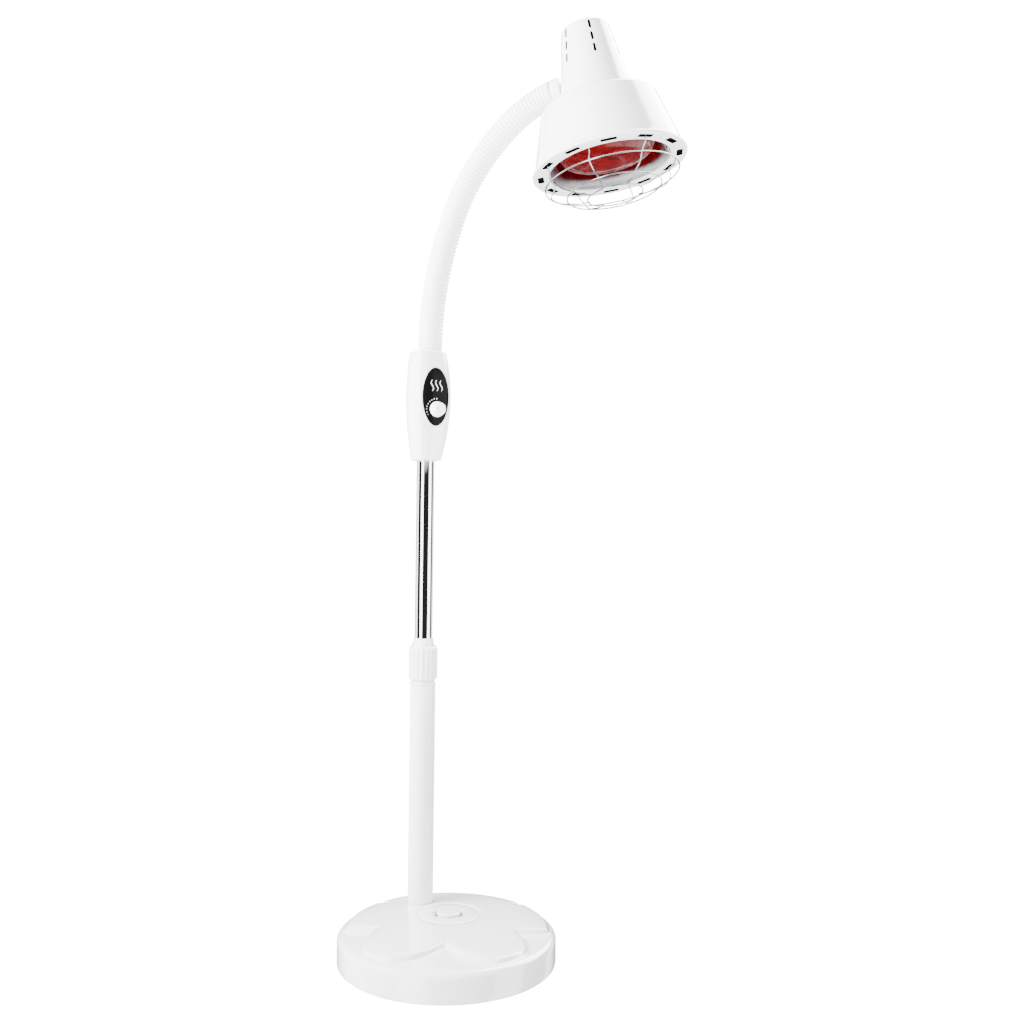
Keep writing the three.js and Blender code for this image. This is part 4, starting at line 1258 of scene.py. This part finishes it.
def add_light(name, place, target, size, power):
    data = bpy.data.lights.new(name, "AREA")
    data.size = size
    data.energy = power
    light = add_object(name, data)
    light.location = place
    light.rotation_euler = (Vector(target) - Vector(place)).to_track_quat("-Z", "Y").to_euler()
    light.visible_glossy = False


WHITE_LEVEL = 17  # what the camera sees behind the object
SOFTBOX_LEVEL = 9  # the brightest box near the horizon, for glossy surfaces
PANEL_LEVEL = 34  # the brightest panel above it
PANELS_FROM = (0.26, 0.34)  # height on the unit sphere where the panels take over
LEFT_LEVEL = 6.4  # soft light on matt surfaces, from the left and the right
RIGHT_LEVEL = 1.3
BELOW_SHARE = 1.4  # of that, what comes from straight below and above
ABOVE_SHARE = 0.62
# Place, as a share of a turn from the left past the camera, and brightness.
SOFTBOXES = ((0.0, 0.5), (0.006, 0.003), (0.112, 0.003), (0.12, 1.0), (0.195, 1.0), (0.203, 0.003),
             (0.395, 0.003), (0.403, 1.0), (0.488, 1.0), (0.496, 0.03), (0.6, 0.03), (0.61, 0.45),
             (0.64, 0.45), (0.67, 0.02), (0.88, 0.004), (0.91, 0.45), (0.99, 0.5))
HIGH_PANELS = ((0.0, 0.16), (0.23, 0.12), (0.40, 0.05), (0.42, 0.0), (0.505, 0.0), (0.515, 1.0),
               (0.66, 1.0), (0.70, 0.03), (1.0, 0.03))


def choose(tree, factor, low, high):
    """low where the factor is 0 and high where it is 1."""
    mix = tree.nodes.new("ShaderNodeMix")
    mix.data_type = "FLOAT"
    for key, value in (("Factor", factor), ("A", low), ("B", high)):
        feed(tree, mix.inputs[key], value)
    return mix.outputs["Result"]


def round_levels(tree, turn, stops, level):
    """Brightness that changes with the heading."""
    ramp = colour_ramp(tree, turn, [(place, (share,) * 3) for place, share in stops])
    return value_range(tree, ramp.outputs["Color"], 0, level)


def studio_world():
    """White to the camera, brighter from the left, with upright soft boxes for the glossy surfaces."""
    world = bpy.data.worlds.new("studio")
    bpy.context.scene.world = world
    world.use_nodes = True
    tree = world.node_tree
    background = tree.nodes["Background"]
    background.inputs["Color"].default_value = (1, 1, 1, 1)
    split = tree.nodes.new("ShaderNodeSeparateXYZ")
    tree.links.new(tree.nodes.new("ShaderNodeTexCoord").outputs["Generated"], split.inputs["Vector"])
    x, y, z = split.outputs
    heading = operation(tree, "ShaderNodeMath", "ARCTAN2", y, x)["Value"]
    turn = value_range(tree, heading, 0, 1, -pi, pi)
    glossy = choose(tree, value_range(tree, z, 0, 1, *PANELS_FROM),
                    round_levels(tree, turn, SOFTBOXES, SOFTBOX_LEVEL),
                    round_levels(tree, turn, HIGH_PANELS, PANEL_LEVEL))
    sides = value_range(tree, x, LEFT_LEVEL, RIGHT_LEVEL, -1)
    floor_share = value_range(tree, z, BELOW_SHARE, ABOVE_SHARE, -1)
    soft = operation(tree, "ShaderNodeMath", "MULTIPLY", sides, floor_share)["Value"]
    path = tree.nodes.new("ShaderNodeLightPath")
    level = choose(tree, path.outputs["Is Glossy Ray"], soft, glossy)
    level = choose(tree, path.outputs["Is Camera Ray"], level, WHITE_LEVEL)
    tree.links.new(level, background.inputs["Strength"])


studio()
base_body()
base_fittings()
pole_parts()
control_box()
gooseneck()
lamp_head()
dress_cad_pieces()
